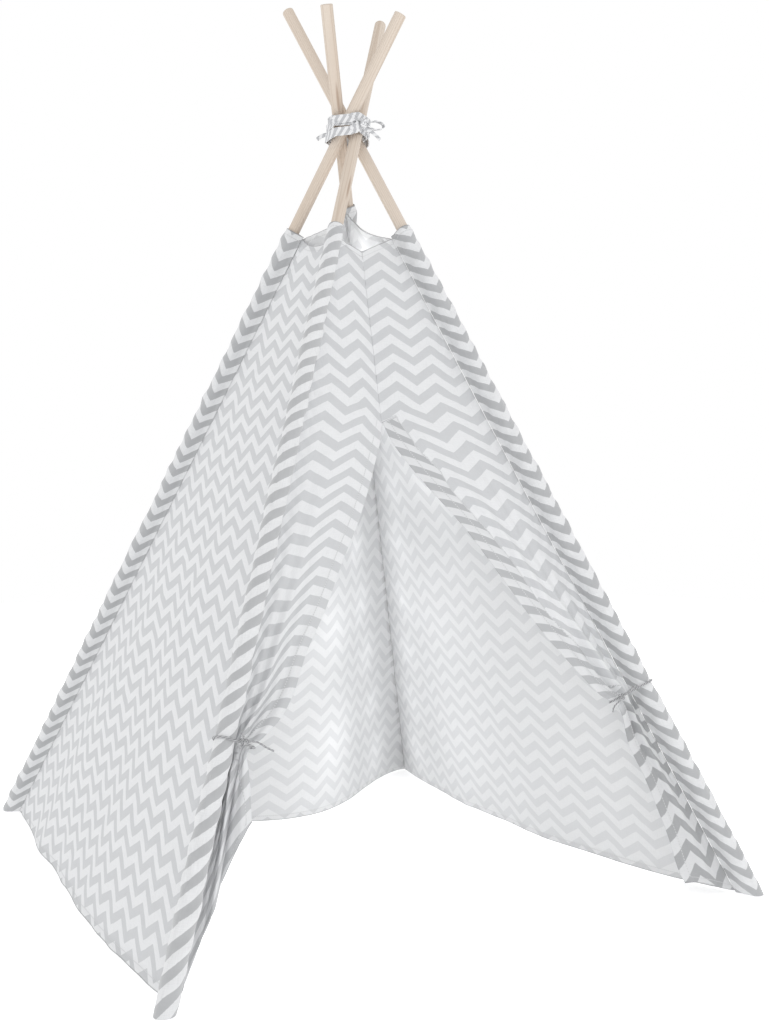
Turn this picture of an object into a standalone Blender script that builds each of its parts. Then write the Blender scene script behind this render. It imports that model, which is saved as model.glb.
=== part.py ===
# Kids teepee: four poles bound near the top, a cloth cover sewn to four pole sleeves and a doorway
# with two tied flaps.
# Metres, +Z up, the doorway faces -Y, the origin is the middle of the base on the floor.
import math

import bmesh
import bpy
import numpy as np
from mathutils import Matrix, Vector
from mathutils.bvhtree import BVHTree

# Whole object
HALF_SPAN_X = 0.490
HALF_SPAN_Y = 0.5835
KNOT = (-0.006, -0.095, 1.340)

# Poles
POLE_DIAMETER = 0.022
POLE_LENGTH = 1.785
POLE_TIP_BEVEL = 0.0015
POLE_JOINT_GAP = 0.0003
POLE_SIDES = 32
# how far each pole passes beside the middle of the crossing, as a share of the pole's diameter
CROSSING_OFFSET_share = 0.81
FERRULE_LENGTH = 0.120
FERRULE_WALL = 0.0008
FERRULE_CLEARANCE = 0.0003

# Sleeves
SLEEVE_INNER_RADIUS = 0.0125
SLEEVE_WALL = 0.0011
SLEEVE_FLOOR = 0.0020
SLEEVE_SEAM_REACH = 0.026
POLE_END_GAP = 0.0003
SLEEVE_SIDES = 16
# where each sleeve ends, measured down its pole from the crossing
SLEEVE_TOP_FRONT_LEFT = 0.243
SLEEVE_TOP_FRONT_RIGHT = 0.216
SLEEVE_TOP_BACK_LEFT = 0.213
SLEEVE_TOP_BACK_RIGHT = 0.139
SLEEVE_STATION_shares = (0.0, 0.02, 0.34, 0.67, 1.0)

# Cloth
CLOTH_THICKNESS = 0.0012
HEM_RISE = 0.003
SEAM_GAP = 0.00115
SEAM_SIDE_DEG = 58.0
PANEL_TOP_DROP = 0.004
CENTRE_SEAM_GAP = 0.0005
LEFT_BOW = 0.012
RIGHT_BOW = 0.090
BACK_BOW = 0.335
PANEL_FOLD_DEPTH = 0.004
TOP_DIP_share = 0.10
PLEAT_DEPTH = 0.009
PLEAT_REACH = 0.170
PLEAT_COUNT = 2.25
PLEAT_STEEPNESS_share = 0.16
DOOR_HEM_WIDTH = 0.008
DOOR_HEM_GAP = 0.0009

# Doorway: the inner edge of each front panel from its lower corner up to the centre seam's top,
# as shares of the half spans and of the height of the lashing
DOOR_TOP_shares = (-0.02041, -0.39589, 0.58433)
CENTRE_SEAM_TOP_shares = (-0.01224, -0.25364, 0.81940)
LEFT_EDGE_shares = (
    (-0.72857, -0.86204, 0.14627),
    (-0.72653, -0.84319, 0.17910),
    (-0.72041, -0.82262, 0.21343),
    (-0.65714, -0.79692, 0.22985),
    (-0.59184, -0.76607, 0.24627),
    (-0.53673, -0.73693, 0.27090),
    (-0.47551, -0.69409, 0.30896),
    (-0.38776, -0.64610, 0.35373),
    (-0.30408, -0.59469, 0.40373),
    (-0.21020, -0.53813, 0.45448),
    (-0.13469, -0.48500, 0.50149),
)
RIGHT_EDGE_shares = (
    (0.77143, -0.94602, 0.02239),
    (0.74898, -0.93745, 0.04030),
    (0.73673, -0.91003, 0.07612),
    (0.71837, -0.88603, 0.10672),
    (0.69184, -0.85347, 0.14627),
    (0.66122, -0.82605, 0.17910),
    (0.64490, -0.79520, 0.22463),
    (0.58776, -0.76607, 0.24328),
    (0.53061, -0.73350, 0.27015),
    (0.45306, -0.68895, 0.30970),
    (0.40204, -0.65810, 0.33881),
    (0.33673, -0.62039, 0.37910),
    (0.26735, -0.57584, 0.42313),
    (0.21020, -0.54156, 0.45597),
    (0.08163, -0.46787, 0.52015),
)
LEFT_TIE_INDEX = 2
RIGHT_TIE_INDEX = 6
LEFT_TIE_SEAM_HEIGHT_share = 0.21791
RIGHT_TIE_SEAM_HEIGHT_share = 0.24627
DOOR_TOP_SEAM_HEIGHT_share = 0.63433

# Lashing: a folded cloth strip
STRIP_WIDTH = 0.0100
STRIP_THICKNESS = 0.0016
STRIP_GAP = 0.0007
STRIP_CLEARANCE = 0.0004
STRIP_RISE = 0.0125
STRIP_START_DEG = 150.0
STRIP_END_DEG = 1010.0
STRIP_POINTS_PER_TURN = 24
STRIP_TILT_share = 0.72
LASHING_REACH = 0.018
LASHING_KNOT_SIZE = 0.0085
KNOT_GIRTH_share = 0.56
KNOT_HEIGHT_share = 0.75
KNOT_PROFILE_shares = ((-1.0, 0.45), (-0.72, 0.9), (-0.3, 0.98), (0.0, 0.8), (0.3, 0.98), (0.72, 0.9), (1.0, 0.45))
LASHING_LOOP_LENGTH = 0.030
LASHING_LOOP_HEIGHT = 0.013
LASHING_END_LENGTH = 0.034
LASHING_LEFT_END_DEG = 168.0

# Ties: thin strings
STRING_DIAMETER = 0.0030
STRING_CLEARANCE = 0.0006
STRING_KNOT_SIZE = 0.0052
STRING_POINT_STEP = 0.0050
TIE_END_LENGTH = 0.036
TIE_END_SWAY_share = 0.08

# Folding: the front and the back legs swing together about a line through the lashing, along X
FOLD_FRONT_DEG = 15.6
FOLD_BACK_PER_FRONT_share = 1.33

LEGS = {
    "front_left": {"sx": -1, "sy": -1, "turn": 315, "top": SLEEVE_TOP_FRONT_LEFT},
    "front_right": {"sx": 1, "sy": -1, "turn": 45, "top": SLEEVE_TOP_FRONT_RIGHT},
    "back_left": {"sx": -1, "sy": 1, "turn": 225, "top": SLEEVE_TOP_BACK_LEFT},
    "back_right": {"sx": 1, "sy": 1, "turn": 135, "top": SLEEVE_TOP_BACK_RIGHT},
}


# A clean scene with one collection for the object and one for cutters
for old in list(bpy.data.objects):
    bpy.data.objects.remove(old, do_unlink=True)
part = bpy.data.collections.new("kids_teepee")
bpy.context.scene.collection.children.link(part)
cutters = bpy.data.collections.new("cutters")
bpy.context.scene.collection.children.link(cutters)


def unit(v):
    v = np.array(v, float)
    return v / np.linalg.norm(v)


def material(name, colour, roughness, metallic=0.0):
    m = bpy.data.materials.new(name)
    m.use_nodes = True
    shader = m.node_tree.nodes["Principled BSDF"]
    shader.inputs["Base Color"].default_value = (*colour, 1.0)
    shader.inputs["Roughness"].default_value = roughness
    shader.inputs["Metallic"].default_value = metallic
    return m


CLOTH = (0.74, 0.75, 0.76)
WOOD = (0.72, 0.57, 0.42)
STRIP = (0.78, 0.78, 0.79)
METAL = (0.70, 0.70, 0.72)


def add_body(name, verts, faces, colour, roughness, origin=(0, 0, 0), metallic=0.0, smooth=False):
    mesh = bpy.data.meshes.new(name)
    o = np.array(origin, float)
    mesh.from_pydata([tuple(np.array(v, float) - o) for v in verts], [], faces)
    bm = bmesh.new()
    bm.from_mesh(mesh)
    bmesh.ops.recalc_face_normals(bm, faces=bm.faces)
    if bm.calc_volume(signed=True) < 0:
        bmesh.ops.reverse_faces(bm, faces=bm.faces)
    bm.to_mesh(mesh)
    bm.free()
    for p in mesh.polygons:
        p.use_smooth = smooth
    body = bpy.data.objects.new(name, mesh)
    body.location = tuple(origin)
    mesh.materials.append(material(name, colour, roughness, metallic))
    part.objects.link(body)
    return body


def adopt(body, name, colour, roughness, origin, metallic=0.0):
    """A body made by operators goes into the collection, with its origin on its joint."""
    body.name = name
    body.data.name = name
    bpy.ops.object.select_all(action="DESELECT")
    body.select_set(True)
    bpy.context.view_layer.objects.active = body
    bpy.ops.object.transform_apply(location=True, rotation=True, scale=True)
    body.data.transform(Matrix.Translation(-Vector(origin)))
    body.location = tuple(origin)
    body.data.materials.clear()
    body.data.materials.append(material(name, colour, roughness, metallic))
    for c in list(body.users_collection):
        c.objects.unlink(body)
    part.objects.link(body)
    return body


def loft(rings, closed_ends=True):
    """Faces between rings of equal count, each ring closed on itself."""
    n = len(rings[0])
    verts = [p for ring in rings for p in ring]
    faces = []
    for k in range(len(rings) - 1):
        for i in range(n):
            j = (i + 1) % n
            faces.append((k * n + i, k * n + j, (k + 1) * n + j, (k + 1) * n + i))
    if closed_ends:
        faces.append(tuple(range(n))[::-1])
        faces.append(tuple((len(rings) - 1) * n + i for i in range(n)))
    return verts, faces


def placed(shares):
    return np.array(shares, float) * np.array([HALF_SPAN_X, HALF_SPAN_Y, KNOT[2]])


DOOR_TOP = placed(DOOR_TOP_shares)
CENTRE_SEAM_TOP = placed(CENTRE_SEAM_TOP_shares)
LEFT_EDGE = placed(LEFT_EDGE_shares)
RIGHT_EDGE = placed(RIGHT_EDGE_shares)
LEFT_TIE_SEAM_HEIGHT = KNOT[2] * LEFT_TIE_SEAM_HEIGHT_share
RIGHT_TIE_SEAM_HEIGHT = KNOT[2] * RIGHT_TIE_SEAM_HEIGHT_share
DOOR_TOP_SEAM_HEIGHT = KNOT[2] * DOOR_TOP_SEAM_HEIGHT_share

# Legs: each pole's line, from its foot on the floor through its crossing
cross = CROSSING_OFFSET_share * POLE_DIAMETER
for name, leg in LEGS.items():
    a = math.radians(leg["turn"])
    leg["crossing"] = np.array(KNOT) + cross * np.array([math.cos(a), math.sin(a), 0.0])
    leg["foot"] = np.array([leg["sx"] * HALF_SPAN_X, leg["sy"] * HALF_SPAN_Y, 0.0])
    leg["down"] = unit(leg["foot"] - leg["crossing"])
    d = leg["down"]
    flat = unit([d[0], d[1], 0.0])
    # towards the inside of the tent, square to the pole
    leg["inward"] = unit(-flat * -d[2] + np.array([0, 0, -1.0]) * math.hypot(d[0], d[1]))
    leg["across"] = np.cross(d, leg["inward"])


def seam_point(name, z):
    """The seam line of a sleeve at height z: the edge that the panels are sewn to."""
    leg = LEGS[name]
    p = leg["crossing"] + leg["inward"] * SLEEVE_SEAM_REACH
    return p + leg["down"] * ((z - p[2]) / leg["down"][2])


def seam_edge(name, z, towards):
    """Where a panel's edge lies beside the seam line, on the side that the panel leaves by."""
    leg = LEGS[name]
    side = 1.0 if np.dot(leg["across"], towards) > 0 else -1.0
    a = math.radians(SEAM_SIDE_DEG)
    return seam_point(name, z) + SEAM_GAP * (math.cos(a) * leg["inward"] + side * math.sin(a) * leg["across"])


# Poles, in two halves that meet inside a metal tube
radius = POLE_DIAMETER / 2
for name, leg in LEGS.items():
    d = leg["down"]
    lean_cos = -d[2]
    lean_sin = math.hypot(d[0], d[1])
    start = (SLEEVE_FLOOR + POLE_END_GAP + radius * lean_sin) / lean_cos
    up = -d
    half = POLE_LENGTH / 2
    turn = Vector((0, 0, 1)).rotation_difference(Vector(up)).to_matrix().to_4x4()
    for which, low, high in (
        ("lower", start, start + half - POLE_JOINT_GAP / 2),
        ("upper", start + half + POLE_JOINT_GAP / 2, start + POLE_LENGTH),
    ):
        bpy.ops.mesh.primitive_cylinder_add(vertices=POLE_SIDES, radius=radius, depth=high - low)
        pole = bpy.context.active_object
        middle = leg["foot"] + up * (low + high) / 2
        bm = bmesh.new()
        bm.from_mesh(pole.data)
        end = 1 if which == "upper" else -1
        rim = [e for e in bm.edges if all(v.co.z * end > 0 for v in e.verts)]
        bmesh.ops.bevel(bm, geom=rim, offset=POLE_TIP_BEVEL, segments=2, affect="EDGES", profile=0.5)
        bm.to_mesh(pole.data)
        bm.free()
        pole.data.transform(Matrix.Translation(Vector(middle)) @ turn)
        adopt(pole, f"pole_{which}_{name}", WOOD, 0.55, KNOT)
    inner = radius + FERRULE_CLEARANCE
    outer = inner + FERRULE_WALL
    rings = []
    for r, t in ((inner, -1), (outer, -1), (outer, 1), (inner, 1)):
        c = leg["foot"] + up * (start + half + t * FERRULE_LENGTH / 2)
        rings.append(
            [
                tuple(c + r * (math.cos(q) * leg["inward"] + math.sin(q) * leg["across"]))
                for q in (2 * math.pi * i / POLE_SIDES for i in range(POLE_SIDES))
            ]
        )
    verts, faces = loft(rings, closed_ends=False)
    n = POLE_SIDES
    for i in range(n):
        j = (i + 1) % n
        faces.append((3 * n + i, 3 * n + j, j, i))
    add_body(f"ferrule_{name}", verts, faces, METAL, 0.35, KNOT, metallic=1.0)


# Sleeves: a snug channel that narrows to the seam line, with a closed pocket on the floor
def sleeve_outline(r, apex):
    tangent = math.acos(r / apex)
    pts = [(apex, 0.0)]
    for i in range(SLEEVE_SIDES - 1):
        q = tangent + (2 * math.pi - 2 * tangent) * i / (SLEEVE_SIDES - 2)
        pts.append((r * math.cos(q), r * math.sin(q)))
    return pts


def sleeve_ring(leg, outline, distance=None, z=None):
    """A ring square to the pole at a distance below the crossing, or level at height z."""
    ring = []
    for a, b in outline:
        p = leg["crossing"] + a * leg["inward"] + b * leg["across"]
        if z is None:
            ring.append(p + leg["down"] * distance)
        else:
            ring.append(p + leg["down"] * ((z - p[2]) / leg["down"][2]))
    return ring


outer_radius = SLEEVE_INNER_RADIUS + SLEEVE_WALL
outer_outline = sleeve_outline(outer_radius, SLEEVE_SEAM_REACH)
inner_outline = sleeve_outline(SLEEVE_INNER_RADIUS, SLEEVE_SEAM_REACH * SLEEVE_INNER_RADIUS / outer_radius)
for name, leg in LEGS.items():
    top = sleeve_ring(leg, outer_outline, distance=leg["top"])
    top_in = sleeve_ring(leg, inner_outline, distance=leg["top"])
    low = sleeve_ring(leg, outer_outline, z=0.0)
    low_in = sleeve_ring(leg, inner_outline, z=SLEEVE_FLOOR)
    outside = [[a + (b - a) * s for a, b in zip(low, top)] for s in SLEEVE_STATION_shares]
    inside = [[a + (b - a) * s for a, b in zip(low_in, top_in)] for s in SLEEVE_STATION_shares]
    rings = outside + inside[::-1]
    verts, faces = loft(rings, closed_ends=True)
    add_body(f"sleeve_{name}", verts, faces, CLOTH, 0.9, KNOT)
    leg["top_height"] = min(p[2] for p in top)


# Cloth panels
def cloth_body(name, grid, origin):
    """A closed sheet of the cloth's thickness around a grid of points."""
    rows, cols = grid.shape[:2]
    verts = [tuple(p) for row in grid for p in row]
    faces = []
    for r in range(rows - 1):
        for c in range(cols - 1):
            q = r * cols + c
            faces.append((q, q + 1, q + cols + 1, q + cols))
    mesh = bpy.data.meshes.new(name)
    o = np.array(origin, float)
    mesh.from_pydata([tuple(np.array(v) - o) for v in verts], [], faces)
    body = bpy.data.objects.new(name, mesh)
    body.location = tuple(origin)
    part.objects.link(body)
    skin = body.modifiers.new("thickness", "SOLIDIFY")
    skin.thickness = CLOTH_THICKNESS
    skin.offset = 0.0
    skin.use_even_offset = True
    skin.use_rim = True
    bpy.ops.object.select_all(action="DESELECT")
    body.select_set(True)
    bpy.context.view_layer.objects.active = body
    bpy.ops.object.modifier_apply(modifier=skin.name)
    bm = bmesh.new()
    bm.from_mesh(body.data)
    bmesh.ops.recalc_face_normals(bm, faces=bm.faces)
    if bm.calc_volume(signed=True) < 0:
        bmesh.ops.reverse_faces(bm, faces=bm.faces)
    bm.to_mesh(body.data)
    bm.free()
    body.data.materials.append(material(name, CLOTH, 0.9))
    return body


def left_profile(u):
    return LEFT_BOW * math.sin(math.pi * u)


def right_profile(u):
    # u runs from the front sleeve to the back one; the cloth is drawn in most near the front
    return RIGHT_BOW * (1 - math.exp(-u / 0.18)) * (1 - u**3)


def back_profile(u):
    return BACK_BOW * math.sin(math.pi * u) ** 1.5


def side_panel(name, one, other, inward, profile, cols, rows, folds):
    inward = np.array(inward, float)
    top_one = LEGS[one]["top_height"] - PANEL_TOP_DROP
    top_other = LEGS[other]["top_height"] - PANEL_TOP_DROP
    grid = np.zeros((rows + 1, cols + 1, 3))
    for c in range(cols + 1):
        u = c / cols
        low = seam_point(one, HEM_RISE) * (1 - u) + seam_point(other, HEM_RISE) * u
        high = seam_point(one, top_one) * (1 - u) + seam_point(other, top_other) * u
        low = low + inward * profile(u)
        share = (KNOT[2] - high[2]) / KNOT[2]
        width = np.linalg.norm(seam_point(one, top_one) - seam_point(other, top_other))
        high = high + inward * profile(u) * share
        slope = unit(low - high)
        high = high + slope * TOP_DIP_share * width * math.sin(math.pi * u)
        wave = math.sin(2 * math.pi * folds * u) * math.sin(math.pi * u)
        for r in range(rows + 1):
            v = r / rows
            p = low * (1 - v) + high * v
            grid[r, c] = p + inward * PANEL_FOLD_DEPTH * wave * (1 - v) ** 1.2
    # stand off from the sleeves by the seam gap, each panel on its own side of the seam
    for r in range(rows + 1):
        row = grid[r]
        row[0] = seam_edge(one, row[0][2], row[-1] - row[0])
        row[-1] = seam_edge(other, row[-1][2], row[0] - row[-1])
    return cloth_body(name, grid, KNOT)


panel_left = side_panel("panel_left", "front_left", "back_left", (1, 0, 0), left_profile, 20, 8, 2.5)
panel_right = side_panel("panel_right", "front_right", "back_right", (-1, 0, 0), right_profile, 24, 8, 3.5)
panel_back = side_panel("panel_back", "back_left", "back_right", (0, -1, 0), back_profile, 24, 8, 2.0)


# Front panels: the yoke above the doorway and the gathered flap, one cloth on each side
def polyline_lengths(points):
    steps = np.linalg.norm(np.diff(points, axis=0), axis=1)
    return np.concatenate([[0.0], np.cumsum(steps)])


def smooth_line(points, count):
    """Even points along a Catmull-Rom curve."""
    p = np.array(points, float)
    p = np.vstack([2 * p[0] - p[1], p, 2 * p[-1] - p[-2]])
    dense = []
    for i in range(1, len(p) - 2):
        for k in range(12):
            t = k / 12
            a, b, c, d = p[i - 1], p[i], p[i + 1], p[i + 2]
            dense.append(
                0.5 * (2 * b + (c - a) * t + (2 * a - 5 * b + 4 * c - d) * t**2 + (3 * b - a - 3 * c + d) * t**3)
            )
    dense.append(p[-2])
    dense = np.array(dense)
    s = polyline_lengths(dense)
    want = np.linspace(0, s[-1], count)
    return np.array([[np.interp(w, s, dense[:, k]) for k in range(3)] for w in want])


FRONT = {}


def front_panel(side, leg_name, edge, tie_index, tie_seam, cols, edge_rows, yoke_rows):
    sign = -1 if side == "left" else 1
    top_seam = LEGS[leg_name]["top_height"] - PANEL_TOP_DROP
    apex = np.array(DOOR_TOP)
    edge = np.array(edge, float)
    edge_line = smooth_line(np.vstack([edge, apex]), edge_rows + 1)
    s = polyline_lengths(edge_line)
    tie_s = s[np.argmin(np.linalg.norm(edge_line - edge[tie_index], axis=1))]
    heights = np.interp(s, [0, tie_s, s[-1]], [HEM_RISE, tie_seam, DOOR_TOP_SEAM_HEIGHT])
    yoke = np.array([apex + (np.array(CENTRE_SEAM_TOP) - apex) * k / yoke_rows for k in range(1, yoke_rows + 1)])
    yoke_heights = np.interp(np.arange(1, yoke_rows + 1) / yoke_rows, [0, 1], [DOOR_TOP_SEAM_HEIGHT, top_seam])
    inner = np.vstack([edge_line, yoke])
    heights = np.concatenate([heights, yoke_heights])
    inner = inner + np.array([sign * CENTRE_SEAM_GAP, 0, 0])
    rows = len(inner)
    grid = np.zeros((rows, cols + 1, 3))
    for r in range(rows):
        a = seam_point(leg_name, heights[r])
        for c in range(cols + 1):
            grid[r, c] = a * (1 - c / cols) + inner[r] * (c / cols)
    base = grid.copy()
    along = np.gradient(base, axis=0)
    over = np.gradient(base, axis=1)
    normal = np.cross(over, along)
    normal /= np.linalg.norm(normal, axis=2)[:, :, None]
    if normal[..., 1].mean() > 0:
        normal = -normal
    full = polyline_lengths(inner)
    for r in range(rows):
        near = math.exp(-(((full[r] - tie_s) / PLEAT_REACH) ** 2))
        hold = 1.0 if r < edge_rows else max(0.0, 1 - (r - edge_rows) / yoke_rows)
        for c in range(cols + 1):
            u = c / cols
            rise = math.sin(math.pi * min(u, 0.75) / 1.5)
            wave = math.cos(2 * math.pi * PLEAT_COUNT * u)
            fade = 1.0 if r < edge_rows - 4 else max(0.0, (edge_rows - r) / 4)
            steep = PLEAT_STEEPNESS_share * np.linalg.norm(base[r, -1] - base[r, 0]) / PLEAT_COUNT
            depth = min(PLEAT_DEPTH, steep) * near * rise * wave * fade
            bulge = PLEAT_DEPTH * 0.5 * math.sin(math.pi * u) * hold * (1 - near)
            grid[r, c] = base[r, c] + normal[r, c] * (depth + bulge)
    for r in range(rows):
        row = grid[r]
        row[0] = seam_edge(leg_name, row[0][2], apex - np.array([row[0][0], row[0][1], apex[2]]))
    body = cloth_body(f"front_panel_{side}", grid, KNOT)
    tie_row = int(np.argmin(np.abs(s - tie_s)))
    FRONT[side] = {"grid": grid, "normal": normal, "rows": edge_rows, "tie_row": tie_row, "leg": leg_name}
    # the bound edge, from just below the door top to the lower corner
    rings = []
    for r in range(0, edge_rows):
        edge_point = grid[r, -1]
        forward = unit(grid[r + 1, -1] - grid[max(r - 1, 0), -1])
        face = unit(normal[r, -1] - forward * np.dot(normal[r, -1], forward))
        out = np.cross(face, forward) * sign
        near_edge = edge_point + out * (CLOTH_THICKNESS / 2 * 0.2 + DOOR_HEM_GAP)
        half = CLOTH_THICKNESS / 2 * 1.25
        far_edge = near_edge + out * DOOR_HEM_WIDTH
        rings.append([near_edge + face * half, far_edge + face * half, far_edge - face * half, near_edge - face * half])
    FRONT[side]["hem"] = rings
    verts, faces = loft(rings)
    add_body(f"door_hem_{side}", verts, faces, CLOTH, 0.9, DOOR_TOP)
    return body


front_left = front_panel("left", "front_left", LEFT_EDGE, LEFT_TIE_INDEX, LEFT_TIE_SEAM_HEIGHT, 16, 22, 6)
front_right = front_panel("right", "front_right", RIGHT_EDGE, RIGHT_TIE_INDEX, RIGHT_TIE_SEAM_HEIGHT, 16, 24, 6)


# Where the poles go as the legs fold, for the lashing's clearance
def turned(v, axis, angle):
    axis = unit(axis)
    v = np.array(v, float)
    return (
        v * math.cos(angle)
        + np.cross(axis, v) * math.sin(angle)
        + axis * np.dot(axis, v) * (1 - math.cos(angle))
    )


for leg in LEGS.values():
    leg["axis"] = np.array([-leg["sy"], 0.0, 0.0])
    leg["fold"] = math.radians(FOLD_FRONT_DEG)
    if leg["sy"] > 0:
        leg["fold"] *= FOLD_BACK_PER_FRONT_share

hull_points = []
for step in range(5):
    for leg in LEGS.values():
        part_way = leg["fold"] * step / 4
        d = turned(leg["down"], leg["axis"], part_way)
        middle = np.array(KNOT) + turned(leg["crossing"] - np.array(KNOT), leg["axis"], part_way)
        flat = unit([d[0], d[1], 0.0])
        side = np.array([-flat[1], flat[0], 0.0])
        for z in np.linspace(-LASHING_REACH, LASHING_REACH, 5):
            c = middle + d * ((KNOT[2] + z - middle[2]) / d[2])
            for k in range(24):
                q = 2 * math.pi * k / 24
                p = c + radius * (math.cos(q) / -d[2] * flat + math.sin(q) * side)
                hull_points.append(p[:2] - np.array(KNOT[:2]))
hull_points = np.array(hull_points)


def hull_at(angle, off):
    n = np.array([math.cos(angle), math.sin(angle)])
    best = hull_points[np.argmax(hull_points @ n)]
    return best + n * off, n


def ribbon(path, outward, width, thickness):
    """Rings of a rounded flat strip along a path; outward is the strip's face direction at each point."""
    rings = []
    count = len(path)
    for i, p in enumerate(path):
        t = unit(path[min(i + 1, count - 1)] - path[max(i - 1, 0)])
        n = unit(outward[i] - t * np.dot(outward[i], t))
        b = np.cross(t, n)
        w, h = width / 2, thickness / 2
        half = ((w, h * 0.4), (w * 0.8, h), (-w * 0.8, h), (-w, h * 0.4))
        ring = [p + b * x + n * y for x, y in half]
        ring += [p - b * x - n * y for x, y in half]
        rings.append(ring)
    return rings


# Lashing: one unbroken strip that climbs outwards a little with each turn
steps = round((STRIP_END_DEG - STRIP_START_DEG) / 360 * STRIP_POINTS_PER_TURN)
first = math.radians(STRIP_START_DEG)


def strip_middle(a):
    """The middle of the strip at a turn angle: off the poles' outline, and its height beside the knot."""
    turns = (a - first) / (2 * math.pi)
    off = STRIP_CLEARANCE + STRIP_THICKNESS / 2 + (STRIP_THICKNESS + STRIP_GAP) * turns
    return off, STRIP_RISE * math.cos(STRIP_TILT_share * (a - first))


path, outward = [], []
for i in range(steps + 1):
    a = first + math.radians(STRIP_END_DEG - STRIP_START_DEG) * i / steps
    off, z = strip_middle(a)
    xy, n = hull_at(a, off)
    path.append(np.array([KNOT[0] + xy[0], KNOT[1] + xy[1], KNOT[2] + z]))
    outward.append(np.array([n[0], n[1], 0.0]))
rings = ribbon(path, outward, STRIP_WIDTH, STRIP_THICKNESS)
verts, faces = loft(rings)
wrap = add_body("lashing_wrap", verts, faces, STRIP, 0.85, KNOT)

least = math.inf
for i in range(len(rings)):
    for j in range(i + STRIP_POINTS_PER_TURN // 2, len(rings)):
        gap = min(np.linalg.norm(a - b) for a in rings[i] for b in rings[j])
        least = min(least, gap)
print(f"lashing strip: corner distance between its own turns at least {least * 1000:.2f} mm")


def strip_point(angle_deg, off, z):
    xy, n = hull_at(math.radians(angle_deg), off)
    return np.array([KNOT[0] + xy[0], KNOT[1] + xy[1], KNOT[2] + z]), np.array([n[0], n[1], 0.0])


# The knot sits on the outermost turn, with a loop and an end to the right and an end to the left
def lump(name, centre_point, face, size, colour, origin):
    """A small tied knot: a rounded pad with a waist."""
    face = unit(face)
    side = unit(np.cross([0, 0, 1.0], face))
    rise = np.cross(face, side)
    rings = []
    for share, girth in KNOT_PROFILE_shares:
        middle = centre_point + side * size * share
        ring = []
        for i in range(12):
            q = 2 * math.pi * i / 12
            spoke = face * KNOT_GIRTH_share * math.cos(q) + rise * KNOT_HEIGHT_share * math.sin(q)
            ring.append(middle + spoke * size * girth)
        rings.append(ring)
    verts, faces = loft(rings)
    return add_body(name, verts, faces, colour, 0.85, origin)


last = math.radians(STRIP_END_DEG)
off, z = strip_middle(last)
knot_off = off + STRIP_THICKNESS / 2 + STRIP_CLEARANCE + LASHING_KNOT_SIZE * KNOT_GIRTH_share
knot_at, knot_face = strip_point(STRIP_END_DEG, knot_off, z)
lump("lashing_knot", knot_at, knot_face, LASHING_KNOT_SIZE, STRIP, KNOT)
side = unit(np.cross([0, 0, 1.0], knot_face))


def loop_path(origin_point, out, drop, length, height, count):
    pts = []
    for i in range(count + 1):
        q = 2 * math.pi * (0.04 + 0.92 * i / count)
        pts.append(origin_point + out * length * 0.5 * (1 - math.cos(q)) + drop * height * 0.5 * math.sin(q))
    return pts


loop_start = knot_at + side * (LASHING_KNOT_SIZE + STRIP_THICKNESS)
out_dir = unit(side * 0.95 + knot_face * 0.30 + np.array([0, 0, 0.12]))
lift = unit(np.cross(out_dir, knot_face))
pts = loop_path(loop_start, out_dir, lift, LASHING_LOOP_LENGTH, LASHING_LOOP_HEIGHT, 22)
centre_of_loop = sum(pts) / len(pts)
outs = [unit(p - centre_of_loop) for p in pts]
verts, faces = loft(ribbon(pts, outs, STRIP_WIDTH * 0.7, STRIP_THICKNESS))
add_body("lashing_loop", verts, faces, STRIP, 0.85, KNOT)


def end_path(start, direction, drop, length, count):
    pts = []
    for i in range(count + 1):
        t = i / count
        pts.append(start + direction * length * t + np.array([0, 0, -1.0]) * drop * t * t)
    return pts


below = np.array([0, 0, -1.0]) * (LASHING_KNOT_SIZE * 0.95 + STRIP_THICKNESS)
low = knot_at + side * (LASHING_KNOT_SIZE * 0.75) + below
pts = end_path(low, unit(side * 0.9 + knot_face * 0.35), LASHING_END_LENGTH * 0.45, LASHING_END_LENGTH, 8)
verts, faces = loft(ribbon(pts, [knot_face] * len(pts), STRIP_WIDTH * 0.7, STRIP_THICKNESS))
add_body("lashing_end_right", verts, faces, STRIP, 0.85, KNOT)
off, z = strip_middle(math.radians(LASHING_LEFT_END_DEG + 720))
left_off = off + STRIP_THICKNESS * 0.8 + STRIP_CLEARANCE
left_at, left_face = strip_point(LASHING_LEFT_END_DEG, left_off, z)
left_side = unit(np.cross([0, 0, 1.0], left_face))
pts = end_path(left_at, unit(left_face * 0.8 - left_side * 0.5), LASHING_END_LENGTH * 0.2, LASHING_END_LENGTH * 0.55, 6)
verts, faces = loft(ribbon(pts, [left_side] * len(pts), STRIP_WIDTH * 0.7, STRIP_THICKNESS))
add_body("lashing_end_left", verts, faces, STRIP, 0.85, KNOT)


# Ties: a string round each gathered flap and its sleeve, open where the side panel is sewn on
def section(body, point, normal):
    bm = bmesh.new()
    bm.from_mesh(body.data)
    bm.transform(Matrix.Translation(body.location))
    cut = bmesh.ops.bisect_plane(
        bm, geom=list(bm.verts) + list(bm.edges) + list(bm.faces), plane_co=Vector(point), plane_no=Vector(normal)
    )
    pts = [np.array(g.co) for g in cut["geom_cut"] if isinstance(g, bmesh.types.BMVert)]
    bm.free()
    return np.array(pts)


def tube(name, points, diameter, colour, origin):
    curve = bpy.data.curves.new(name, "CURVE")
    curve.dimensions = "3D"
    curve.bevel_depth = diameter / 2
    curve.bevel_resolution = 2
    curve.use_fill_caps = True
    spline = curve.splines.new("POLY")
    spline.points.add(len(points) - 1)
    for item, p in zip(spline.points, points):
        item.co = (*p, 1.0)
    body = bpy.data.objects.new(name, curve)
    bpy.context.scene.collection.objects.link(body)
    bpy.ops.object.select_all(action="DESELECT")
    body.select_set(True)
    bpy.context.view_layer.objects.active = body
    bpy.ops.object.convert(target="MESH")
    return adopt(body, name, colour, 0.85, origin)


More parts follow.
